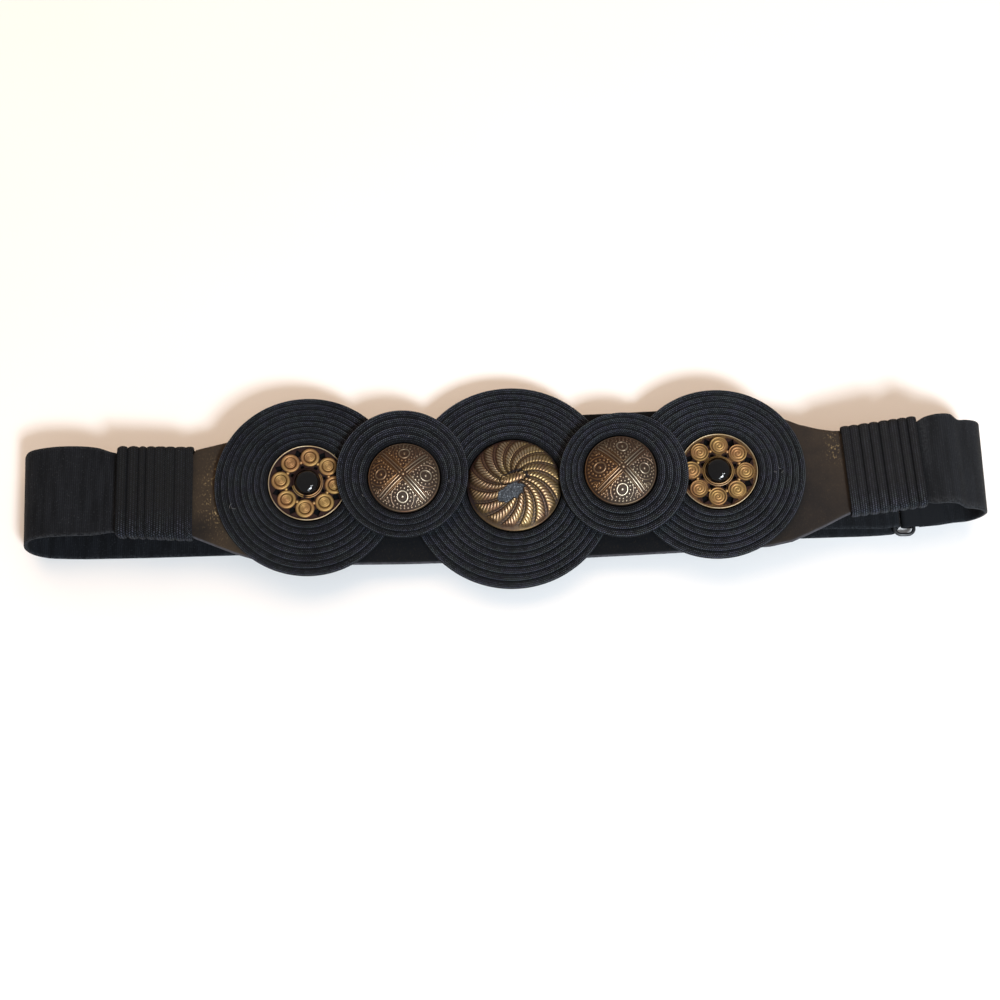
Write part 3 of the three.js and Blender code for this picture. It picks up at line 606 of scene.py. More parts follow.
# Leather: each section across the belt is a flat slab whose two cut edges are pared down. The
# uv holds the brown of the dye and the nearness of the edge, the tone holds the scuffs.
def leatherPanel():
    xs = np.asarray(leatherCut["x"], float)
    x = np.unique(np.concatenate([np.arange(xs[0], xs[-1], leather["step"]), xs]))
    top, bottom = np.interp(x, xs, leatherCut["top"]), np.interp(x, xs, leatherCut["bottom"])
    thick = belt["leatherThickness"]
    inset = np.array([0.0, 0.1, 0.25, 0.45, 0.7, 1.6])
    inside = np.linspace(0, 1, 30)[1:-1]
    low, high = bottom[:, None], top[:, None]
    upper = np.concatenate([low + inset, low + 1.6 + (high - low - 3.2) * inside, high - inset[::-1]], 1)
    fromEdge = np.minimum(upper - low, high - upper)
    upperLift = thick - leather["edgeDrop"] * (1 - smoothStep(0, leather["edgeWidth"], fromEdge))
    lower = upper[:, ::-1]
    y = np.concatenate([upper, lower], 1)
    lift = np.concatenate([upperLift, np.zeros_like(lower)], 1)
    across = np.broadcast_to(x[:, None], y.shape)
    points = drapedPoint(across, y, lift)
    nearEdge = 1 - smoothStep(0.3, leather["edgeWidth"], np.minimum(y - low, high - y))
    # Painted light joins the raw edge's colour: the front edge, facing the window, gets it fully, the back
    # edge only a little
    nearEdge = np.where(y < 0, nearEdge, nearEdge * 0.12)
    upwards = np.where(across < 0, 1.0, 0.55 + 0.4 * smoothStep(-8, 12, y))
    brown = smoothStep(72, 104, np.abs(across - 4)) * upwards
    brown = brown * (1 - 0.7 * np.exp(-((across + 124) ** 2 / 40 + (y + 16) ** 2 / 60)))
    scuff = np.zeros_like(y) + 0.03
    for markX, markY, wide, tall in leather["scuffs"]:
        scuff = scuff + np.exp(-(((across - markX) / wide) ** 2) - ((y - markY) / tall) ** 2)
    for end in (0, -1):
        points[end, :, :] = (points[end] + points[end][::-1]) / 2
    uv = np.stack([brown, nearEdge], -1)
    uv = np.concatenate([uv, uv[:, :1]], 1)
    part = gridPart(points, closedV=True, uv=uv, tone=np.clip(scuff, 0, 1))
    addParts("leather_front", [part], leatherMaterial, "leather_panel", "leather")


leatherPanel()
print("leather made")

# Wraps: the grooves are the depths between turns, and the widths are the turns' own. The scallop
# lets each turn swell past the edges, and the climb lifts the top edge towards the wrap's end.
wraps = [
    {"node": "wrap_left", "start": -158.3, "end": -127.8, "height": 37.8, "lean": 0.6, "scallop": 0.7,
     "climb": 1.0, "grooves": [1.0, 1.0, 0.9, 1.0, 0.5, 0.45, 0.6, 0.4],
     "widths": [1.1, 1.2, 0.75, 0.9, 1.15, 1.0, 1.1, 0.8]},
    {"node": "wrap_right", "start": 140.3, "end": 169.9, "height": 37.8, "lean": 1.1, "scallop": 0.3,
     "climb": 0.0, "grooves": [0.6, 0.6, 1.0, 0.9, 1.0, 0.8, 0.9, 1.0],
     "widths": [0.95, 0.95, 1.1, 1.0, 1.05, 1.0, 0.95, 1.0]},
]
wrap = {"turns": 8, "wall": 1.1, "rib": 0.5, "corner": 0.5}
ringShape = {"left": 163.5, "right": 171.7, "bottom": -23.4, "top": 16.5, "height": 2.45, "wire": 0.75,
             "corner": 2.8}


# A row of a strap is x, height, middle, width and how far its bottom edge leads its top edge. This
# one lies under the leather inside a wrap, as wide as the wrap's hollow lets it be.
def rowInWrap(x, height):
    x2, _, z2 = drapedPoint(float(x), 0.0, -belt["gap"] - belt["elasticThickness"] / 2)
    width = height - 2 * (wrap["wall"] + wrap["rib"]) - 2 * belt["gap"]
    return (x2, z2, float(tableValue(frontLine, "middle", np.float64(x))), width, 0)


# A smooth curve through rows of numbers, spaced by the square root of their distance in x, z
# and middle, which keeps it from looping at close rows
def smoothRows(rows, steps):
    rows = np.asarray(rows, float)
    ahead = np.vstack([2 * rows[0] - rows[1], rows, 2 * rows[-1] - rows[-2]])
    gaps = np.maximum(np.linalg.norm(np.diff(ahead[:, :3], axis=0), axis=1) ** 0.5, 1e-4)
    at = np.linspace(0, len(rows) - 1, steps + 1)
    k = np.minimum(at.astype(int), len(rows) - 2)
    t = (at - k)[:, None]
    p0, p1, p2, p3 = ahead[k], ahead[k + 1], ahead[k + 2], ahead[k + 3]
    d0, d1, d2 = gaps[k][:, None], gaps[k + 1][:, None], gaps[k + 2][:, None]
    m1 = ((p1 - p0) / d0 - (p2 - p0) / (d0 + d1) + (p2 - p1) / d1) * d1
    m2 = ((p2 - p1) / d1 - (p3 - p1) / (d1 + d2) + (p3 - p2) / d2) * d1
    return p1 + m1 * t + (-3 * p1 + 3 * p2 - 2 * m1 - m2) * t**2 + (2 * p1 - 2 * p2 + m1 + m2) * t**3


# Straight rows cut into short steps
def fineRows(rows, longest):
    rows = np.asarray(rows, float)
    pieces = [np.linspace(a, b, max(int(np.linalg.norm((b - a)[:2]) / longest), 1), endpoint=False)
              for a, b in zip(rows[:-1], rows[1:])]
    return np.vstack(pieces + [rows[-1:]])


# A strap: at each row a thin slab with round selvedges, square to the path. The uv holds
# millimetres along and across, the tone marks both selvedges.
def strap(name, rows, thickness, node, slot, material, wornEdge=None, rubbed=None, rollEdge=0.55, samples=44):
    x, z, middle, width, lean = rows.T
    tangent = np.gradient(np.stack([x, z], 1), axis=0)
    tangent /= np.linalg.norm(tangent, axis=1)[:, None]
    offX, offZ = -tangent[:, 1], tangent[:, 0]
    side = np.concatenate([[0, 0.004, 0.012, 0.024], np.linspace(0.04, 0.96, samples),
                           [0.976, 0.988, 0.996, 1]])
    half = thickness / 2 * np.clip(ridge(np.abs(side - 0.5) * 2, 1.0) * 6, 0, 1) ** rollEdge
    across = np.concatenate([side, side[::-1][1:-1]])
    offset = np.concatenate([half, -half[::-1][1:-1]])
    y = (middle - width / 2)[:, None] + width[:, None] * across
    swing = lean[:, None] * (0.5 - across)
    px = x[:, None] + swing + offX[:, None] * offset
    pz = z[:, None] + offZ[:, None] * offset
    points = np.stack([px, y, pz], -1)
    for end in (0, -1):
        points[end, :, 0] = x[end] + swing[end]
        points[end, :, 2] = z[end]
    run = np.concatenate([[0], np.cumsum(np.hypot(np.diff(x), np.diff(z)))])
    acrossAll = np.append(across, across[0])
    uv = np.stack(np.broadcast_arrays(run[:, None], acrossAll[None, :] * 38), -1)
    worn = np.zeros(len(x)) if wornEdge is None else wornEdge
    selvedge = np.clip(1.4 - np.minimum(across / (0.025 + 0.035 * worn[:, None]), (1 - across) / 0.025), 0, 1)
    if rubbed is not None:
        selvedge = np.maximum(selvedge, rubbed[:, None] * smoothStep(0.3, 0.6, across))
    part = gridPart(points, closedV=True, uv=uv, tone=selvedge)
    addParts(name, [part], material, node, slot)


elastic = {"width": 38.4, "step": 1.2}
bed = belt["elasticThickness"] / 2


# From the left wrap round the left fold, back along the floor, round the ring and over itself
def elasticLeft():
    w = elastic["width"]
    fold = smoothRows([
        *(rowInWrap(x, wraps[0]["height"]) for x in (-130, -146, -160)),
        (-168, 18.8, 1.4, 37.4, 0), (-178, 19.0, 1.8, w, 0), (-188, 18.4, 1.7, w, 0.4),
        (-196.0, 15.3, 1.0, w, 1.4),
        (-198.8, 9.8, -0.7, w, 1.8), (-197.3, 4.8, -2.0, w, 1.8), (-191.9, 1.6, -2.9, w, 1.0),
        (-183, bed, -3.4, w, 0),
    ], 150)
    fold[:, 1] = np.maximum(fold[:, 1], bed)
    loop = ringShape["wire"] + belt["gap"] + bed
    angle = np.linspace(0, np.pi, 25)
    low, high = -22.7 + 2.3 * smoothStep(0.0, 1.3, angle), np.full(25, 14.9)
    turn = np.stack([ringShape["left"] + np.sin(angle) * loop, ringShape["height"] - np.cos(angle) * loop,
                     (low + high) / 2, high - low, np.zeros(25)], 1)
    overlay = 3 * bed + belt["gap"]
    back = fineRows([fold[-1], (-176, bed, -3.7, w, 0), (-150, bed, -4.2, 38, 0), (150, bed, -4.4, 38, 0),
                     (158, bed, -4.2, 38, 0), (162.2, bed, -4.05, 37.8, 0), turn[0]], elastic["step"] / 2)
    top = ringShape["height"]
    foldBack = smoothRows([turn[-1], (160.5, top + 1.45, -2.6, 36.4, 0), (157, top + 0.75, -2.0, 37.6, 0),
                           (153, overlay + 0.2, -1.6, 38, 0), (149, overlay, -1.3, 38, 0),
                           (131, overlay, -1.0, 38, 0)], 40)
    rows = np.vstack([fold, back[1:], turn[1:], foldBack[1:]])
    strap("elastic_left_band", rows, belt["elasticThickness"], "elastic_left", "elastic", elasticMaterial)


# From the right wrap over a crease and round the right fold to the hook. Its top edge is worn as
# far as the fold, and a pale line is rubbed across it beside the wrap.
def elasticRight():
    w = elastic["width"]
    fold = smoothRows([
        *(rowInWrap(x, wraps[1]["height"]) for x in (143, 156, 169)),
        (173.5, 27.6, 1.5, 37.0, 0), (178.5, 29.4, 1.6, 37.8, 0), (182.8, 28.6, 1.3, 38.2, 0),
        (186.4, 26.3, -0.1, 37.6, -0.2),
        (190, 24.7, 0.1, 38.0, -0.4),
        (195, 21.4, 0.3, w, -0.8), (198.4, 15.0, 0.6, w, -1.3), (198.0, 7.6, 0.6, w, -1.5),
        (195.0, 2.6, 0.6, w, -1.0),
        (189, bed, 0.6, w, 0),
    ], 170)
    fold[:, 1] = np.maximum(fold[:, 1], bed)
    end = fineRows([fold[-1], (183, bed, 0.0, 38.9, 0), (174.6, bed, -0.8, 38.4, 0)], elastic["step"])
    rows = np.vstack([fold, end[1:]])
    worn = np.where(np.arange(len(rows)) < len(fold) * 0.8, 1.0, 0.0)
    rubbed = 0.75 * np.exp(-(((rows[:, 0] - 172.2) / 1.3) ** 2)) * (rows[:, 1] > 20)
    strap("elastic_right_band", rows, belt["elasticThickness"], "elastic_right", "elastic", elasticMaterial,
          worn, rubbed)


elasticLeft()
elasticRight()
print("elastic made")

wrapLook = {"around": 46, "samples": 16, "plait": 0.86, "uneven": 0.40, "rowRise": 0.08}


# A wrap: the rounded box round leather and elastic, swollen by braid that is carried along it.
# Each turn is a soft ridge between grooves of its own depth, and sways a little from straight.
def braidWrap(piece):
    corner, wall, rib, turns = wrap["corner"], wrap["wall"], wrap["rib"], wrap["turns"]
    start, end, lean = piece["start"], piece["end"], piece["lean"]
    inner = piece["height"] / 2 - wall - rib
    half, top = inner - corner, belt["leatherThickness"] + belt["gap"] - corner
    bottom = -2 * belt["gap"] - belt["elasticThickness"] + corner
    n = wrapLook["around"]
    arc = np.linspace(0, np.pi / 2, 7)
    flat, short = np.linspace(0, 1, n)[1:-1], np.linspace(0, 1, 5)[1:-1]
    y = np.concatenate([half + 0 * arc, half - 2 * half * flat, -half + 0 * arc, -half + 0 * short,
                        -half + 0 * arc, -half + 2 * half * flat, half + 0 * arc, half + 0 * short])
    w = np.concatenate([top + 0 * arc, top + 0 * flat, top + 0 * arc, top + (bottom - top) * short,
                        bottom + 0 * arc, bottom + 0 * flat, bottom + 0 * arc,
                        bottom + (top - bottom) * short])
    facing = np.concatenate([arc, np.pi / 2 + 0 * flat, np.pi / 2 + arc, np.pi + 0 * short,
                             np.pi + arc, 1.5 * np.pi + 0 * flat, 1.5 * np.pi + arc, 0 * short])
    t = np.tile(np.linspace(0, 1, wrapLook["samples"], endpoint=False), turns)
    turn = np.repeat(np.arange(turns), wrapLook["samples"])
    widths = np.asarray(piece["widths"]) / sum(piece["widths"])
    share = np.append((np.cumsum(widths) - widths)[turn] + t * widths[turn], 1.0)
    t, turn = np.append(t, 1.0), np.append(turn, turns - 1)
    grooves = np.asarray(piece["grooves"])
    before, after = grooves[turn], grooves[np.minimum(turn + 1, turns - 1)]
    depth = np.where(t < 0.5, before, after)
    rows = wrapLook["rowRise"] * ridge((t * braidLook["rows"]) % 1 - 0.5, 0.55)
    groove = depth * (1 - ridge(t - 0.5, 0.53))
    swell = corner + wall + rib * (1 - groove + rows - wrapLook["rowRise"])
    # Painted groove shade: the tone rises in the grooves, and the braid's material darkens them by it
    grooveShadeTone = np.append(0.2 + 0.15 * np.clip(groove * 1.5, 0, 1), np.full(12, 0.3))[:, None]
    waver = np.stack([wobble(facing + k, 300 + k) for k in turn])
    sway = waver * wrapLook["uneven"] * np.sin(np.pi * share)[:, None]
    station = start + (end - start) * share
    insideShare = np.linspace(0.98, 0.02, 12)
    station = np.append(station, start + (end - start) * insideShare)
    swell = np.append(swell, np.full(12, corner))
    sway = np.vstack([sway, np.zeros((12, len(y)))])
    scallop = np.append(piece["scallop"] * (0.6 - np.clip(groove * 1.3, 0, 1)), np.zeros(12))
    climb = piece["climb"] * (station - start) / (end - start)
    yOut = y + np.cos(facing) * (swell + scallop)[:, None] + climb[:, None] * smoothStep(0, half, y)
    wOut = w + np.sin(facing) * swell[:, None]
    x = station[:, None] - lean * yOut / piece["height"] + sway
    points = drapedPoint(x, yOut + tableValue(frontLine, "middle", station)[:, None], wOut)
    reach = corner + wall + 0.5 * rib
    step = np.hypot(np.diff(np.append(y, y[0]) + reach * np.cos(np.append(facing, facing[0]))),
                    np.diff(np.append(w, w[0]) + reach * np.sin(np.append(facing, facing[0]))))
    around = np.concatenate([[0], np.cumsum(step)]) / wrapLook["plait"]
    across = np.append(turn + t * 0.999, np.full(12, turns + 0.5))
    across = np.append(across, across[:1])
    uv = np.stack(np.broadcast_arrays(around[None, :], across[:, None]), -1)
    part = gridPart(points, closedU=True, closedV=True, uv=uv, tone=grooveShadeTone)
    addParts(piece["node"] + "_braid", [part], braidMaterial, piece["node"], "braid")


for piece in wraps:
    braidWrap(piece)
print("wraps made")


# A round relief: rings of points from the middle outwards at given heights, then down its edge
# and back under to the middle, all in millimetres about its own axis
def roundRelief(radii, angles, heights, foot, toneGrid=1.0, warmReflectionShare=0.0):
    x = radii * np.cos(angles)
    y = radii * np.sin(angles)
    edgeX, edgeY = x[:, -1:], y[:, -1:]
    x = np.concatenate([x, edgeX, edgeX * 0.5, edgeX * 0], 1)
    y = np.concatenate([y, edgeY, edgeY * 0.5, edgeY * 0], 1)
    z = np.concatenate([heights, np.full((len(x), 3), foot)], 1)
    toneAll = np.concatenate([np.broadcast_to(toneGrid, heights.shape), np.full((len(x), 3), 0.2)], 1)
    # The uv's u carries the painted warm reflection
    warmReflection = np.concatenate([np.broadcast_to(warmReflectionShare, heights.shape), np.zeros((len(x), 3))], 1)
    warmReflection = np.concatenate([warmReflection, warmReflection[:1]])
    return gridPart(np.stack([x, y, z], -1), closedU=True, uv=np.stack([warmReflection, 0 * warmReflection], -1), tone=toneAll)


# A turned shape about its own axis from a profile of radius and height
def turnedPart(profile, sides, toneLine=1.0):
    radius, height = np.asarray(profile, float).T
    angle = np.linspace(0, turnCircle, sides, endpoint=False)[:, None]
    points = np.stack(np.broadcast_arrays(np.cos(angle) * radius, np.sin(angle) * radius, height), -1)
    return gridPart(points, closedU=True, tone=np.broadcast_to(toneLine, (sides, len(radius))))


def shifted(part, x=0.0, y=0.0, z=0.0):
    return movedPart(part, part["points"] + np.array([x, y, z]))


# How high a ball's cap stands over its own rim at a distance from the axis
def capHeight(r, radius, rise):
    sphere = (radius**2 + rise**2) / (2 * rise)
    return np.sqrt(np.maximum(sphere**2 - r**2, 0)) - (sphere - rise)


smallDome = {"radius": 14.8, "rim": 0.9, "height": 7.0, "relief": 0.5, "firstArm": 42, "around": 440,
             "rings": 130, "eyeAt": 9.3, "eyeRadius": 2.2, "archRadius": 4.7, "archTip": 2.3}


# The small dome's relief at x, y: double bars in a cross with rows of beads beside them, and in
# each quarter an eye in a pointed arch, side circles and beads. Each is a ridge about a line.
def smallDomeRelief(x, y):
    turn = math.radians(smallDome["firstArm"])
    a, b = np.abs(x * math.cos(turn) + y * math.sin(turn)), np.abs(-x * math.sin(turn) + y * math.cos(turn))
    r = np.hypot(x, y)
    beside, along = np.minimum(a, b), np.maximum(a, b)
    p, q = (a + b) / 2**0.5, np.abs(a - b) / 2**0.5

    def beads(alongLine, fromLine, spacing, size):
        return ridge(np.hypot((alongLine % spacing) - spacing / 2, fromLine), size)

    bars = ridge(beside - 0.62, 0.40) * smoothStep(0.9, 1.6, along)
    border = 0.6 * ridge(beside - 1.35, 0.20) * smoothStep(2.0, 3.0, along)
    rows = 0.95 * beads(along, beside - 2.2, 1.5, 0.55) * (along > 3.2)
    eyeDistance = np.hypot(p - smallDome["eyeAt"], q)
    eye = np.maximum(ridge(eyeDistance - smallDome["eyeRadius"], 0.40), ridge(eyeDistance, 0.68))
    tip, archRadius = smallDome["archTip"], smallDome["archRadius"]
    archAt = smallDome["eyeAt"] + 0.1
    reach = archAt - tip
    slope = math.asin(archRadius / reach)
    onLine = (p - tip) * math.cos(slope) + q * math.sin(slope)
    toLine = np.abs((p - tip) * math.sin(slope) - q * math.cos(slope))
    toRound = np.abs(np.hypot(p - archAt, q) - archRadius)
    arch = 0.75 * ridge(np.where(onLine < reach * math.cos(slope), toLine + 9 * (onLine < 0), toRound), 0.26)
    spin = np.arctan2(q, p - smallDome["eyeAt"])
    pearls = 0.85 * beads(spin * 3.45, eyeDistance - 3.45, 3.45 * math.pi / 7, 0.50)
    lone = 0.85 * ridge(np.hypot(p - 4.6, q), 0.44)
    sideCircle = np.hypot(p - 11.0, q - 6.6)
    sides = 0.75 * np.maximum(ridge(sideCircle - 0.9, 0.26), ridge(sideCircle, 0.42))
    rimBeads = 0.8 * beads(np.arctan2(y, x) * 13.6, r - 13.6, 13.6 * turnCircle / 54, 0.50)
    relief = np.maximum.reduce([bars, border, rows, eye, arch, pearls, lone, sides])
    relief = relief * (r < 13.1) + rimBeads
    return np.maximum(relief, ridge(r, 0.75))


# The small dome: its relief on a cap, with the crossing shifted by the apex, a painted warm reflection
# that fades from a place and radius, and a painted highlight about another
def smallDomePiece(node, x, y, apex, warmReflectionAt, highlightAt):
    angle = np.linspace(0, turnCircle, smallDome["around"], endpoint=False)[:, None]
    r = np.append(np.linspace(0, 14.5, smallDome["rings"]), [14.62, 14.75, smallDome["radius"]])[None, :]
    aside = apex * (1 - (r / smallDome["radius"]) ** 2)
    relief = smallDomeRelief(r * np.cos(angle) - aside, r * np.sin(angle))
    lip = smoothStep(14.25, 14.45, r) * 0.30 * (r < 14.78)
    height = smallDome["rim"] + capHeight(r, smallDome["radius"], smallDome["height"] - smallDome["rim"])
    # Painted reflection: a warm tint fades out from its place
    fromWarmReflection = np.hypot(r * np.cos(angle) - warmReflectionAt[0], r * np.sin(angle) - warmReflectionAt[1])
    warmReflection = 1 - smoothStep(warmReflectionAt[2] * 0.4, warmReflectionAt[2], fromWarmReflection)
    # Painted highlight: the tone is raised about the place where the window's light falls
    fromHighlight = np.hypot(r * np.cos(angle) - highlightAt[0], r * np.sin(angle) - highlightAt[1])
    highlightGain = 0.90 + highlightAt[3] * np.exp(-((fromHighlight / highlightAt[2]) ** 2))
    part = roundRelief(r + 0 * angle, angle + 0 * r,
                       height + smallDome["relief"] * relief * (r < 14.7) + lip, 0.0,
                       0.10 + 0.95 * np.maximum(relief, lip * 1.3) * highlightGain, warmReflection)
    part = seatedPart(part, x, y, seatHigh)
    addParts(node + "_relief", [part], bronzeMaterial, node, "bronze_metal", 80)


ropeDome = {"radius": 19.6, "rim": 1.2, "height": 8.6, "strands": 16, "rise": 1.15, "sweep": 0.80,
            "heart": 3.2, "perStrand": 28, "outer": 19.5, "lay": 1.45, "slant": 0.58, "share": 0.78,
            "bar": (-0.6, 1.0, 5.3, 1.8, 17), "patch": (-1.6, -5.0, 6.0, 2.9, 27)}


# Distance from the middle of an oval, in shares of its own half-widths, and turned by degrees
def ovalDistance(x, y, midX, midY, wide, tall, degrees=0):
    turn = math.radians(degrees)
    along = (x - midX) * math.cos(turn) + (y - midY) * math.sin(turn)
    aside = (y - midY) * math.cos(turn) - (x - midX) * math.sin(turn)
    return np.hypot(along / wide, aside / tall)


# Rounded segments of a twisted rope, dark in the lay lines between them
def twisted(phase):
    return np.clip(np.abs(np.sin(np.pi * phase)) * 1.7, 0, 1)


# The rope dome: bright ropes sweep outwards with a thin sunken one between each pair, and lay lines
# slant across them. A short rope bar lies across the middle in a moat, with dark recesses beside
# it, above a ragged patch whose negative tone shows the bare ground.
def ropeDomePiece(node, x, y):
    count = ropeDome["strands"] * ropeDome["perStrand"]
    start = np.linspace(0, turnCircle, count, endpoint=False)[:, None]
    r = np.append(np.linspace(0, 19.25, 150), [19.4, 19.5, 19.57, ropeDome["radius"]])[None, :]
    perMillimetre = ropeDome["sweep"] / (ropeDome["radius"] - ropeDome["heart"])
    angle = start - perMillimetre * (r - ropeDome["heart"])
    localX, localY = r * np.cos(angle), r * np.sin(angle)
    cross = ((start * ropeDome["strands"] / turnCircle) % 1) * 2 - 1 + 0 * r
    share = ropeDome["share"]
    bright, thin = (cross + 1 - share) / share, (cross - share) / (1 - share)
    alongRope = np.cumsum(np.append([0], np.diff(r[0])) * np.hypot(1, r[0] * perMillimetre))
    run = alongRope[None, :] / ropeDome["lay"]
    shift = 0.4 * wobble(start, 21)
    spiral = np.arctan(r * perMillimetre)
    half = np.pi * r / ropeDome["strands"] / ropeDome["lay"]
    lean = share * half * (np.sin(spiral) + ropeDome["slant"] * np.cos(spiral))
    leanBack = (1 - share) * half * (np.sin(spiral) - ropeDome["slant"] * np.cos(spiral))
    lay, layBetween = twisted(run - bright * lean + shift), twisted(run * 1.1 - thin * leanBack + shift)
    inner = smoothStep(1.2, 3.4, r)
    reach = ropeDome["outer"] - 0.9 * smoothStep(0.2, 1.0, -np.sin(angle + 0.5))
    outer = 1 - smoothStep(reach - 1.3, reach + 0.2, r + 0.35 * wobble(start * 3, 31))
    ropes, between = ridge(bright, 1.0) * (0.50 + 0.50 * lay), ridge(thin, 1.0) * (0.12 + 0.12 * layBetween)
    relief = np.maximum(ropes, between) * inner * outer
    crest = ridge(bright, 1.0)
    ropeTone = np.maximum(crest**0.3 * (0.12 + 0.54 * lay) + 0.24 * crest**2 * lay,
                          ridge(thin, 1.0) ** 0.5 * (0.10 + 0.18 * layBetween))
    # Painted highlight: the ropes on the upper left are brightened, standing in for light on them
    upperLeftHighlight = smoothStep(0.0, 1.0, np.cos(angle - 2.0)) * smoothStep(4, 10, r)
    ropeTone = ropeTone * inner * outer * (1 + 0.2 * upperLeftHighlight)
    barX, barY, barHalf, barRadius, barTurn = ropeDome["bar"]
    turn = math.radians(barTurn)
    along = (localX - barX) * math.cos(turn) + (localY - barY) * math.sin(turn)
    beside = (localY - barY) * math.cos(turn) - (localX - barX) * math.sin(turn)
    beside = beside + 0.035 * along * np.abs(along) / barHalf
    fromBar = np.hypot(np.maximum(np.abs(along) - barHalf + barRadius, 0), beside)
    barLay = twisted(along / ropeDome["lay"] - beside * 0.40)
    bar = ridge(fromBar, barRadius) * (0.62 + 0.38 * barLay)
    moat = np.where(bar > 0, 1, smoothStep(barRadius, barRadius * 1.4, fromBar))
    relief, ropeTone = relief * moat, ropeTone * moat
    patchOval = ovalDistance(localX, localY, *ropeDome["patch"])
    ragged = 0.17 * wobble(np.arctan2(localY + 4.9, localX + 1.5), 44, 11)
    patch = 1 - smoothStep(0.86, 1.16, patchOval + ragged)
    patch = patch * (1 - smoothStep(0.0, 0.3, bar))
    grains = wobble(localX * 2.3 + localY * 1.1, 5) * wobble(localY * 2.9 - localX, 6)
    worn = 0.35 * patch * (0.5 + 0.5 * grains)
    relief = relief * (1 - patch)
    height = ropeDome["rim"] + capHeight(r, ropeDome["radius"], ropeDome["height"] - ropeDome["rim"])
    raised = np.maximum(ropeDome["rise"] * relief, 1.2 * bar) + worn
    edge = smoothStep(19.2, 19.4, r)
    barTone = ridge(fromBar, barRadius) ** 0.25 * (0.10 + 0.68 * barLay)
    ropeTone = np.where(bar > relief * 0.9, barTone, ropeTone)
    recess = np.minimum(ovalDistance(localX, localY, barX + 0.8, barY + 2.4, 3.6, 1.1, barTurn),
                        ovalDistance(localX, localY, barX + 5.6, barY + 1.0, 1.0, 1.9, barTurn))
    rimGrey = 0.26 * (1 - outer) * smoothStep(0.1, 0.9, -np.sin(angle))
    sunken = np.where(bar > 0.1, 1, smoothStep(0.5, 1.4, recess))
    toneGrid = 0.06 + 0.94 * ropeTone * sunken + 0.12 * edge + rimGrey
    toneGrid = np.where(patch > 0.02, toneGrid * (1 - patch) - patch, toneGrid)
    # Painted reflection: a warm tint on the upper left stands in for the room mirrored there
    warmReflection = 0.55 * smoothStep(0.1, 1.0, np.cos(angle - 2.5)) * smoothStep(7, 14, r)
    part = roundRelief(r + 0 * angle, angle, height + raised * (1 - edge), 0.0, toneGrid, warmReflection)
    part = seatedPart(part, x, y, seatLow)
    addParts(node + "_relief", [part], ropeMaterial, node, "bronze_metal", 80)


smallDomePiece("dome_left_small", -41.5, 3.8, -0.4, (-6.0, 2.5, 13.0), (2.5, -8.0, 8.0, 0.20))
smallDomePiece("dome_right_small", 48.9, 4.0, 1.0, (-8.0, -1.0, 13.5), (0.3, -9.4, 4.5, 0.40))
ropeDomePiece("dome_centre", 4.4, 0.5)
print("domes made")

rosette = {"radius": 16.1, "plate": 0.7, "rimWidth": 0.9, "rimWire": 0.24, "cups": 8, "cupCircle": 11.0,
           "cupRadius": 3.9, "cupHeight": 1.75, "firstCup": 85, "bezelOuter": 5.95, "bezelInner": 5.45,
           "bezelHeight": 1.8,
           "outerHole": 2.25, "innerHole": 0.85, "wirePitch": 0.70, "barePitch": 1.16, "band": 2.42,
           "floor": 2.25}
cabochon = {"radius": 5.0, "girdle": 0.9, "height": 3.6}


# A round bar's profile about the axis: a small circle at the given radius
def hoopPart(radius, wire, height, sides=96, around=12, toneLine=1.0):
    angle = np.linspace(0, turnCircle, around, endpoint=False)
    profile = np.stack([radius + wire * np.cos(angle), height + wire * np.sin(angle)], 1)
    grid = turnedPart(profile, sides)["points"].reshape(sides, around, 3)
    return gridPart(grid, closedU=True, closedV=True, tone=np.full((sides, around), toneLine))


# A cup: a soft band round a thin dark groove, and inside it a raised floor of flat-coiled wire
# whose height follows a spiral. A bare cup is one coarser coil of wire with a shallow groove round
# it, darkened by a painted shade ring.
def coiledCup(foot, bare):
    radius, pitch, height, floor = (rosette[key] for key in ("cupRadius", "wirePitch", "cupHeight", "floor"))
    angle = np.linspace(0, turnCircle, 72, endpoint=False)[:, None]
    r = np.linspace(0, radius, 56)[None, :]
    middle, half = (rosette["band"] + radius) / 2, (radius - rosette["band"]) / 2 + 0.12
    bandWires = ridge((r - rosette["band"]) % 0.74 - 0.37, 0.40)
    band = ridge(r - middle, half) * (0.84 + 0.16 * bandWires)
    onFloor = 1 - smoothStep(floor - 0.18, floor + 0.12, r)
    wire = np.maximum(ridge(((floor - r) / pitch + angle / turnCircle) % 1 - 0.5, 0.53),
                      ridge(r, pitch * 0.6))
    relief = np.maximum(0.88 * band, onFloor * (0.80 + 0.20 * wire))
    tones = np.maximum((0.60 + 0.34 * bandWires) * band**0.4, onFloor * (0.74 + 0.22 * wire))
    if bare:
        wire = np.maximum(ridge(((radius - r) / rosette["barePitch"] + angle / turnCircle) % 1 - 0.5, 0.56),
                          ridge(r, 0.5))
        whole = 1 - smoothStep(radius - 0.3, radius, r)
        # Painted shade: a dark ring in a shallow groove stands in for the shade that falls there
        shadeRing = ridge(r - 2.95, 0.36)
        relief = whole * (0.62 + 0.38 * wire) - 0.12 * shadeRing
        tones = whole**0.5 * (0.08 + 0.84 * wire**0.8) * (1 - 0.5 * shadeRing)
    z = foot + (height - foot) * relief + 0 * angle
    return roundRelief(r + 0 * angle, angle + 0 * r, z, foot, 0.08 + 0.80 * tones)


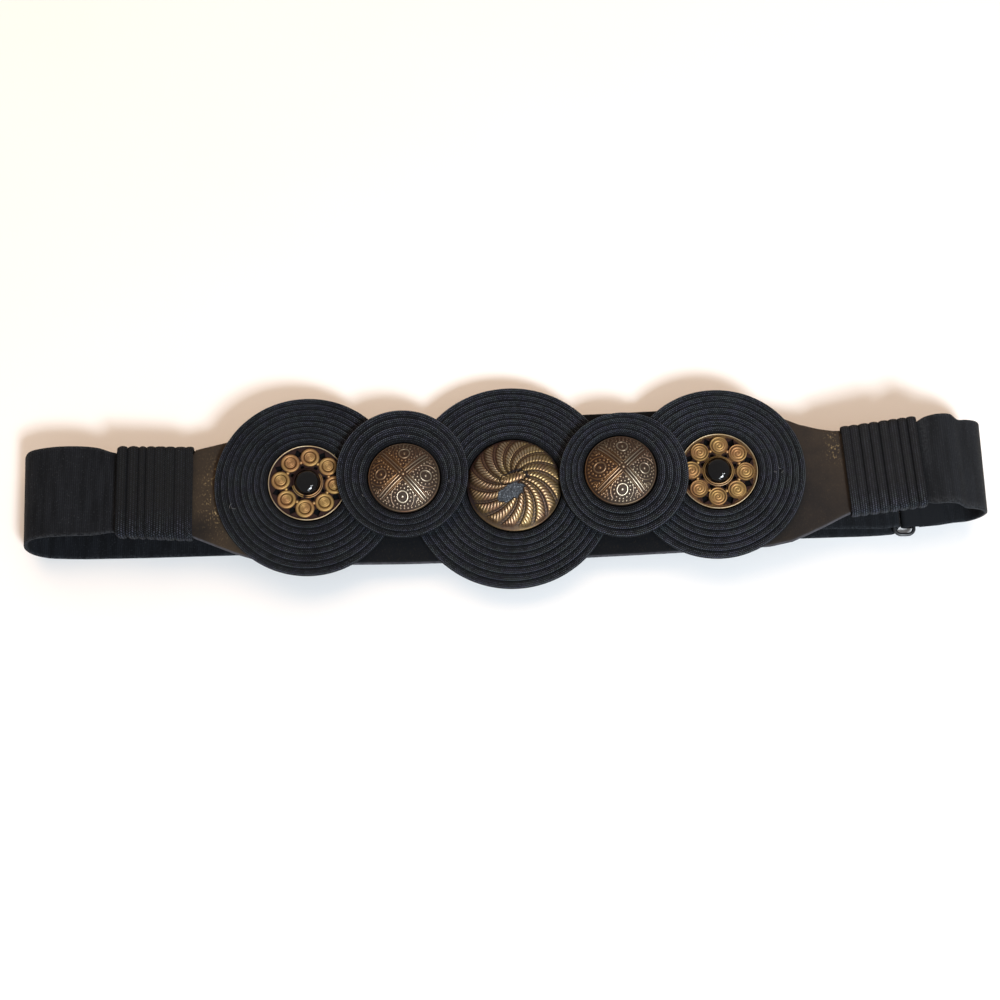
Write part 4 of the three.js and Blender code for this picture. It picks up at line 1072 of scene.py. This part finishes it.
# The pierced plate: a turned dish with a rim, cut through between the cups
def piercedPlate(name, toneLine):
    g = rosette
    inner = g["radius"] - g["rimWidth"]
    outer = g["radius"] - 0.15
    dish = turnedPart([(0, 0), (outer, 0), (outer, 0.9), (inner, 0.9), (inner, g["plate"]), (0, g["plate"])],
                      96, toneLine)
    plate = bpy.data.objects.new(name, buildMesh(name, [dish]))
    cutters = []
    for k in range(g["cups"]):
        between = math.radians(g["firstCup"] + (k + 0.5) * 360 / g["cups"])
        holes = ((g["outerHole"], 3, inner - g["outerHole"] * 1.02),
                 (g["innerHole"], 20, g["bezelOuter"] + g["innerHole"] * 1.3))
        for size, corners, distance in holes:
            around = between + np.linspace(0, turnCircle, corners, endpoint=False)
            wide = 1.3 if corners == 3 else 1.0
            across = size * wide * np.sin(around - between)
            outwards = size * np.cos(around - between)
            px = (distance + outwards) * math.cos(between) - across * math.sin(between)
            py = (distance + outwards) * math.sin(between) + across * math.cos(between)
            rows = np.stack([np.stack([px * s + (1 - s) * px.mean(), py * s + (1 - s) * py.mean(),
                                       np.full(corners, z)], -1)
                             for s, z in ((0, -2.0), (1, -2.0), (1, 4.0), (0, 4.0))], 1)
            cutters.append(gridPart(rows, closedU=True))
    cutter = bpy.data.objects.new("plate_cutter", buildMesh("plate_cutter", cutters))
    for thing in (plate, cutter):
        bpy.context.scene.collection.objects.link(thing)
    cut = plate.modifiers.new("cut", "BOOLEAN")
    cut.operation, cut.solver, cut.object = "DIFFERENCE", "EXACT", cutter
    whole = bpy.data.meshes.new_from_object(plate.evaluated_get(bpy.context.evaluated_depsgraph_get()))
    bpy.data.objects.remove(cutter)
    bpy.data.objects.remove(plate)
    return whole


# The rosette: pierced plate, rim wire, eight cups joined by balls, and a bezel with a hoop round
# it, carrying painted highlights in two places, or all round on the bare rosette
def rosettePiece(node, x, y, bare):
    g = rosette
    rimTurn = np.linspace(0, turnCircle, 144, endpoint=False)
    rimTone = 1.08 + 0.14 * wobble(rimTurn * 3, 71)[:, None]
    parts = [hoopPart(g["radius"] - g["rimWire"], g["rimWire"], 1.2, 144, 12, rimTone)]
    wall = [(g["bezelInner"], g["plate"] - 0.2), (g["bezelOuter"] + 0.1, g["plate"] - 0.2),
            (g["bezelOuter"], 1.4), (g["bezelOuter"] - 0.12, 1.7),
            (g["bezelOuter"] - 0.25, g["bezelHeight"]), (g["bezelInner"] + 0.05, 1.75),
            (g["bezelInner"], 1.4)]
    bezel = turnedPart(wall, 96)
    turn = np.linspace(0, turnCircle, 96, endpoint=False)
    # Painted highlights: the bezel and its hoop are brightened on the sides that catch the light
    rubbed = np.maximum(smoothStep(0.2, 0.8, np.cos(turn + 0.5)), smoothStep(0.8, 0.95, np.cos(turn - 3.9)))
    if bare:
        rubbed = 0.72 + 0.34 * np.cos(turn + 1.4)
    bezelTone = 0.14 + 0.82 * rubbed[:, None] * np.array([0, 0, 0.4, 1, 1, 0.4, 0])[None, :]
    parts.append(gridPart(bezel["points"].reshape(96, len(wall), 3), closedU=True, closedV=True,
                          tone=bezelTone))
    parts.append(hoopPart(g["bezelOuter"] + 0.35, 0.2, g["plate"] + 0.25, 96, 8,
                          0.16 + 0.80 * rubbed[:, None]))
    for k in range(g["cups"]):
        angle = math.radians(g["firstCup"] + k * 360 / g["cups"])
        cup = coiledCup(g["plate"] - 0.2, bare)
        c, s = math.cos(angle * 1.7 + k), math.sin(angle * 1.7 + k)
        spun = cup["points"] @ np.array([[c, -s, 0], [s, c, 0], [0, 0, 1]]).T
        cupX, cupY = g["cupCircle"] * math.cos(angle), g["cupCircle"] * math.sin(angle)
        parts.append(shifted(movedPart(cup, spun), cupX, cupY))
        between = angle + math.pi / g["cups"]
        ballLine = [(0.78 * math.sin(a), -0.78 * math.cos(a)) for a in np.linspace(0, math.pi, 9)]
        ball = turnedPart(ballLine, 14, 0.9)
        parts.append(shifted(ball, 9.1 * math.cos(between), 9.1 * math.sin(between), 0.95))
    mesh = buildMesh(node + "_coils", parts)
    plate = piercedPlate(node + "_plate", 0.37 if bare else 0.08)
    joined = joinMeshes(node + "_gold", [mesh, plate])
    coords = np.empty(len(joined.vertices) * 3, np.float32)
    joined.vertices.foreach_get("co", coords)
    placed = setOnFront(coords.reshape(-1, 3).astype(float) / mm, x, y, seatLow) * mm
    joined.vertices.foreach_set("co", placed.astype(np.float32).ravel())
    joined.update()
    addPiece(node + "_gold", joined, goldMaterial, node, "gold_metal", 60)


def joinMeshes(name, meshes):
    work = bmesh.new()
    for mesh in meshes:
        work.from_mesh(mesh)
    joined = bpy.data.meshes.new(name)
    work.to_mesh(joined)
    work.free()
    for mesh in meshes:
        bpy.data.meshes.remove(mesh)
    return joined


# The stone: a girdle under a crown whose profile is a quarter of an ellipse
def cabochonPiece(node, x, y):
    g = cabochon
    angle = np.linspace(0, np.pi / 2, 28)
    crown = np.stack([g["radius"] * np.cos(angle),
                      g["girdle"] + (g["height"] - g["girdle"]) * np.sin(angle)], 1)
    crown[-1, 0] = 0
    part = turnedPart(np.vstack([[(0, 0), (4.85, 0), (g["radius"], 0.15)], crown]), 96)
    part = seatedPart(part, x, y, seatLow + rosette["plate"] + belt["gap"])
    addParts(node + "_stone", [part], glassMaterial, node, "cabochon_glass")


rosettePiece("rosette_left", -81.5, 3.0, False)
rosettePiece("rosette_right", 89.3, 2.5, True)
cabochonPiece("cabochon_left", -81.5, 3.0)
cabochonPiece("cabochon_right", 89.3, 2.5)
print("rosettes made")


# The ring: a wire's circle carried round a level rounded rectangle
def claspRing():
    g = ringShape
    corners = [(g["right"] - g["corner"], g["top"] - g["corner"], 0),
               (g["left"] + g["corner"], g["top"] - g["corner"], 90),
               (g["left"] + g["corner"], g["bottom"] + g["corner"], 180),
               (g["right"] - g["corner"], g["bottom"] + g["corner"], 270)]
    turn = np.linspace(0, np.pi / 2, 10)
    facing = np.concatenate([math.radians(start) + turn for _, _, start in corners])
    centreX = np.repeat([c[0] for c in corners], 10)
    centreY = np.repeat([c[1] for c in corners], 10)
    around = np.linspace(0, turnCircle, 16, endpoint=False)
    reach = g["corner"] + g["wire"] * np.cos(around)
    x = centreX[:, None] + np.cos(facing)[:, None] * reach
    y = centreY[:, None] + np.sin(facing)[:, None] * reach
    z = g["height"] + g["wire"] * np.sin(around)
    part = gridPart(np.stack(np.broadcast_arrays(x, y, z), -1), closedU=True, closedV=True)
    addParts("clasp_ring_wire", [part], wireMaterial, "clasp_ring", "clasp_wire")


# The hook: a plate on the right elastic's end that crosses the ring's bar and turns back under it
def claspHook():
    thick, width, middle, bendAt, lip = 0.8, 35.4, -2.8, 168.25, 172.4
    around = ringShape["wire"] + belt["gap"] + thick / 2
    lying = belt["elasticThickness"] + belt["gap"] + thick / 2
    angle = np.linspace(0, np.pi, 24)
    bend = np.stack([bendAt - np.sin(angle) * around, ringShape["height"] + np.cos(angle) * around], 1)
    plate = [(185, lying), (176, lying), (174.4, ringShape["height"] + 0.6),
             (173.2, ringShape["height"] + around)]
    line = np.vstack([plate, bend, [(lip, ringShape["height"] - around)]])
    taper = smoothStep(173, 185, line[:, 0])
    rows = np.column_stack([line, middle + 0.9 * taper, width - 1.8 * taper, np.zeros(len(line))])
    strap("clasp_hook_plate", fineRows(rows, 0.8), thick, "clasp_hook", "clasp_wire", plateMaterial,
          samples=8)


claspRing()
claspHook()
print("clasp made")

# The camera stands over the belt's long edge, as the photograph was taken: its tilt is from
# straight down, its turn is about the vertical, and the focal length is in pixels of the frame
view = {"tilt": 15.5, "turn": 1.8, "distance": 550.0, "focalPixels": 1325.0, "frame": 1000.0,
        "target": (-1.75, -5.7, 12.0)}


# Its axes come from the tilt and turn, and its place lies that distance back from the target
def photoCamera():
    tilt, turn = math.radians(view["tilt"]), math.radians(view["turn"])
    right = Vector((math.cos(turn), -math.sin(turn), 0))
    ground = Vector((math.sin(turn), math.cos(turn), 0))
    ahead = math.sin(tilt) * ground - math.cos(tilt) * Vector((0, 0, 1))
    up = math.cos(tilt) * ground + math.sin(tilt) * Vector((0, 0, 1))
    where = (Vector(view["target"]) - view["distance"] * ahead) * mm
    data = bpy.data.cameras.new("photoCamera")
    data.sensor_width = 36.0
    data.lens = view["focalPixels"] / view["frame"] * data.sensor_width
    data.clip_start = 0.01
    camera = bpy.data.objects.new("photoCamera", data)
    axes = Matrix((right, up, -ahead)).transposed()
    camera.matrix_world = Matrix.Translation(where) @ axes.to_4x4()
    bpy.context.scene.collection.objects.link(camera)
    bpy.context.scene.camera = camera


# Soft studio light: a cool window in front to the right, and warm light from behind that is matt,
# so that no polished thing mirrors it
lamps = [
    {"name": "coolWindow", "place": (0.507, -0.882, 1.103), "size": 0.34, "watts": 24.5,
     "colour": (0.88, 0.95, 1.0)},
    {"name": "warmRoom", "place": (-0.30, 1.60, 1.50), "size": 3.0, "watts": 59.5,
     "colour": (1.0, 0.66, 0.39), "matt": True},
]
# Panes of the window that only polished things mirror: shifts right and up as seen from the belt
panes = {"size": 0.15, "watts": 2.6, "colour": (0.9, 0.96, 1.0),
         "shifts": [(-0.38, -0.20), (-0.20, -0.03), (0.14, 0.10), (0.22, 0.30), (0.40, 0.22), (-0.30, -0.36)]}


# A square area lamp that faces the belt's middle
def hangLamp(name, where, size, watts, colour):
    data = bpy.data.lights.new(name, "AREA")
    data.shape, data.size = "SQUARE", size
    data.energy, data.color = watts, colour
    thing = bpy.data.objects.new(name, data)
    thing.location = where
    thing.rotation_euler = (-where).to_track_quat("-Z", "Y").to_euler()
    bpy.context.scene.collection.objects.link(thing)
    return thing


# The room's even light, the lamps, the panes about the window's own direction, and the floor
def studio():
    world = bpy.data.worlds.new("softRoom")
    world.use_nodes = True
    world.node_tree.nodes["Background"].inputs[0].default_value = (1.0, 0.97, 0.95, 1)
    world.node_tree.nodes["Background"].inputs[1].default_value = 0.36
    bpy.context.scene.world = world
    for lamp in lamps:
        thing = hangLamp(lamp["name"], Vector(lamp["place"]), lamp["size"], lamp["watts"], lamp["colour"])
        thing.visible_glossy = not lamp.get("matt")
    window = Vector(lamps[0]["place"])
    right = Vector((0, 0, 1)).cross(window).normalized()
    upwards = window.cross(right).normalized()
    for k, (aside, above) in enumerate(panes["shifts"]):
        spot = window + (right * aside + upwards * above) * window.length
        thing = hangLamp(f"pane{k}", spot, panes["size"], panes["watts"], panes["colour"])
        thing.visible_diffuse = False
    floor = bpy.data.meshes.new("floor")
    edge = 3.0
    corners = [(-edge, -edge, 0), (edge, -edge, 0), (edge, edge, 0), (-edge, edge, 0)]
    floor.from_pydata(corners, [], [(0, 1, 2, 3)])
    floor.materials.append(floorMaterial)
    floorPiece = bpy.data.objects.new("floor", floor)
    bpy.context.scene.collection.objects.link(floorPiece)
    bpy.context.scene.view_settings.view_transform = "Standard"


photoCamera()
studio()
print("camera and light set")
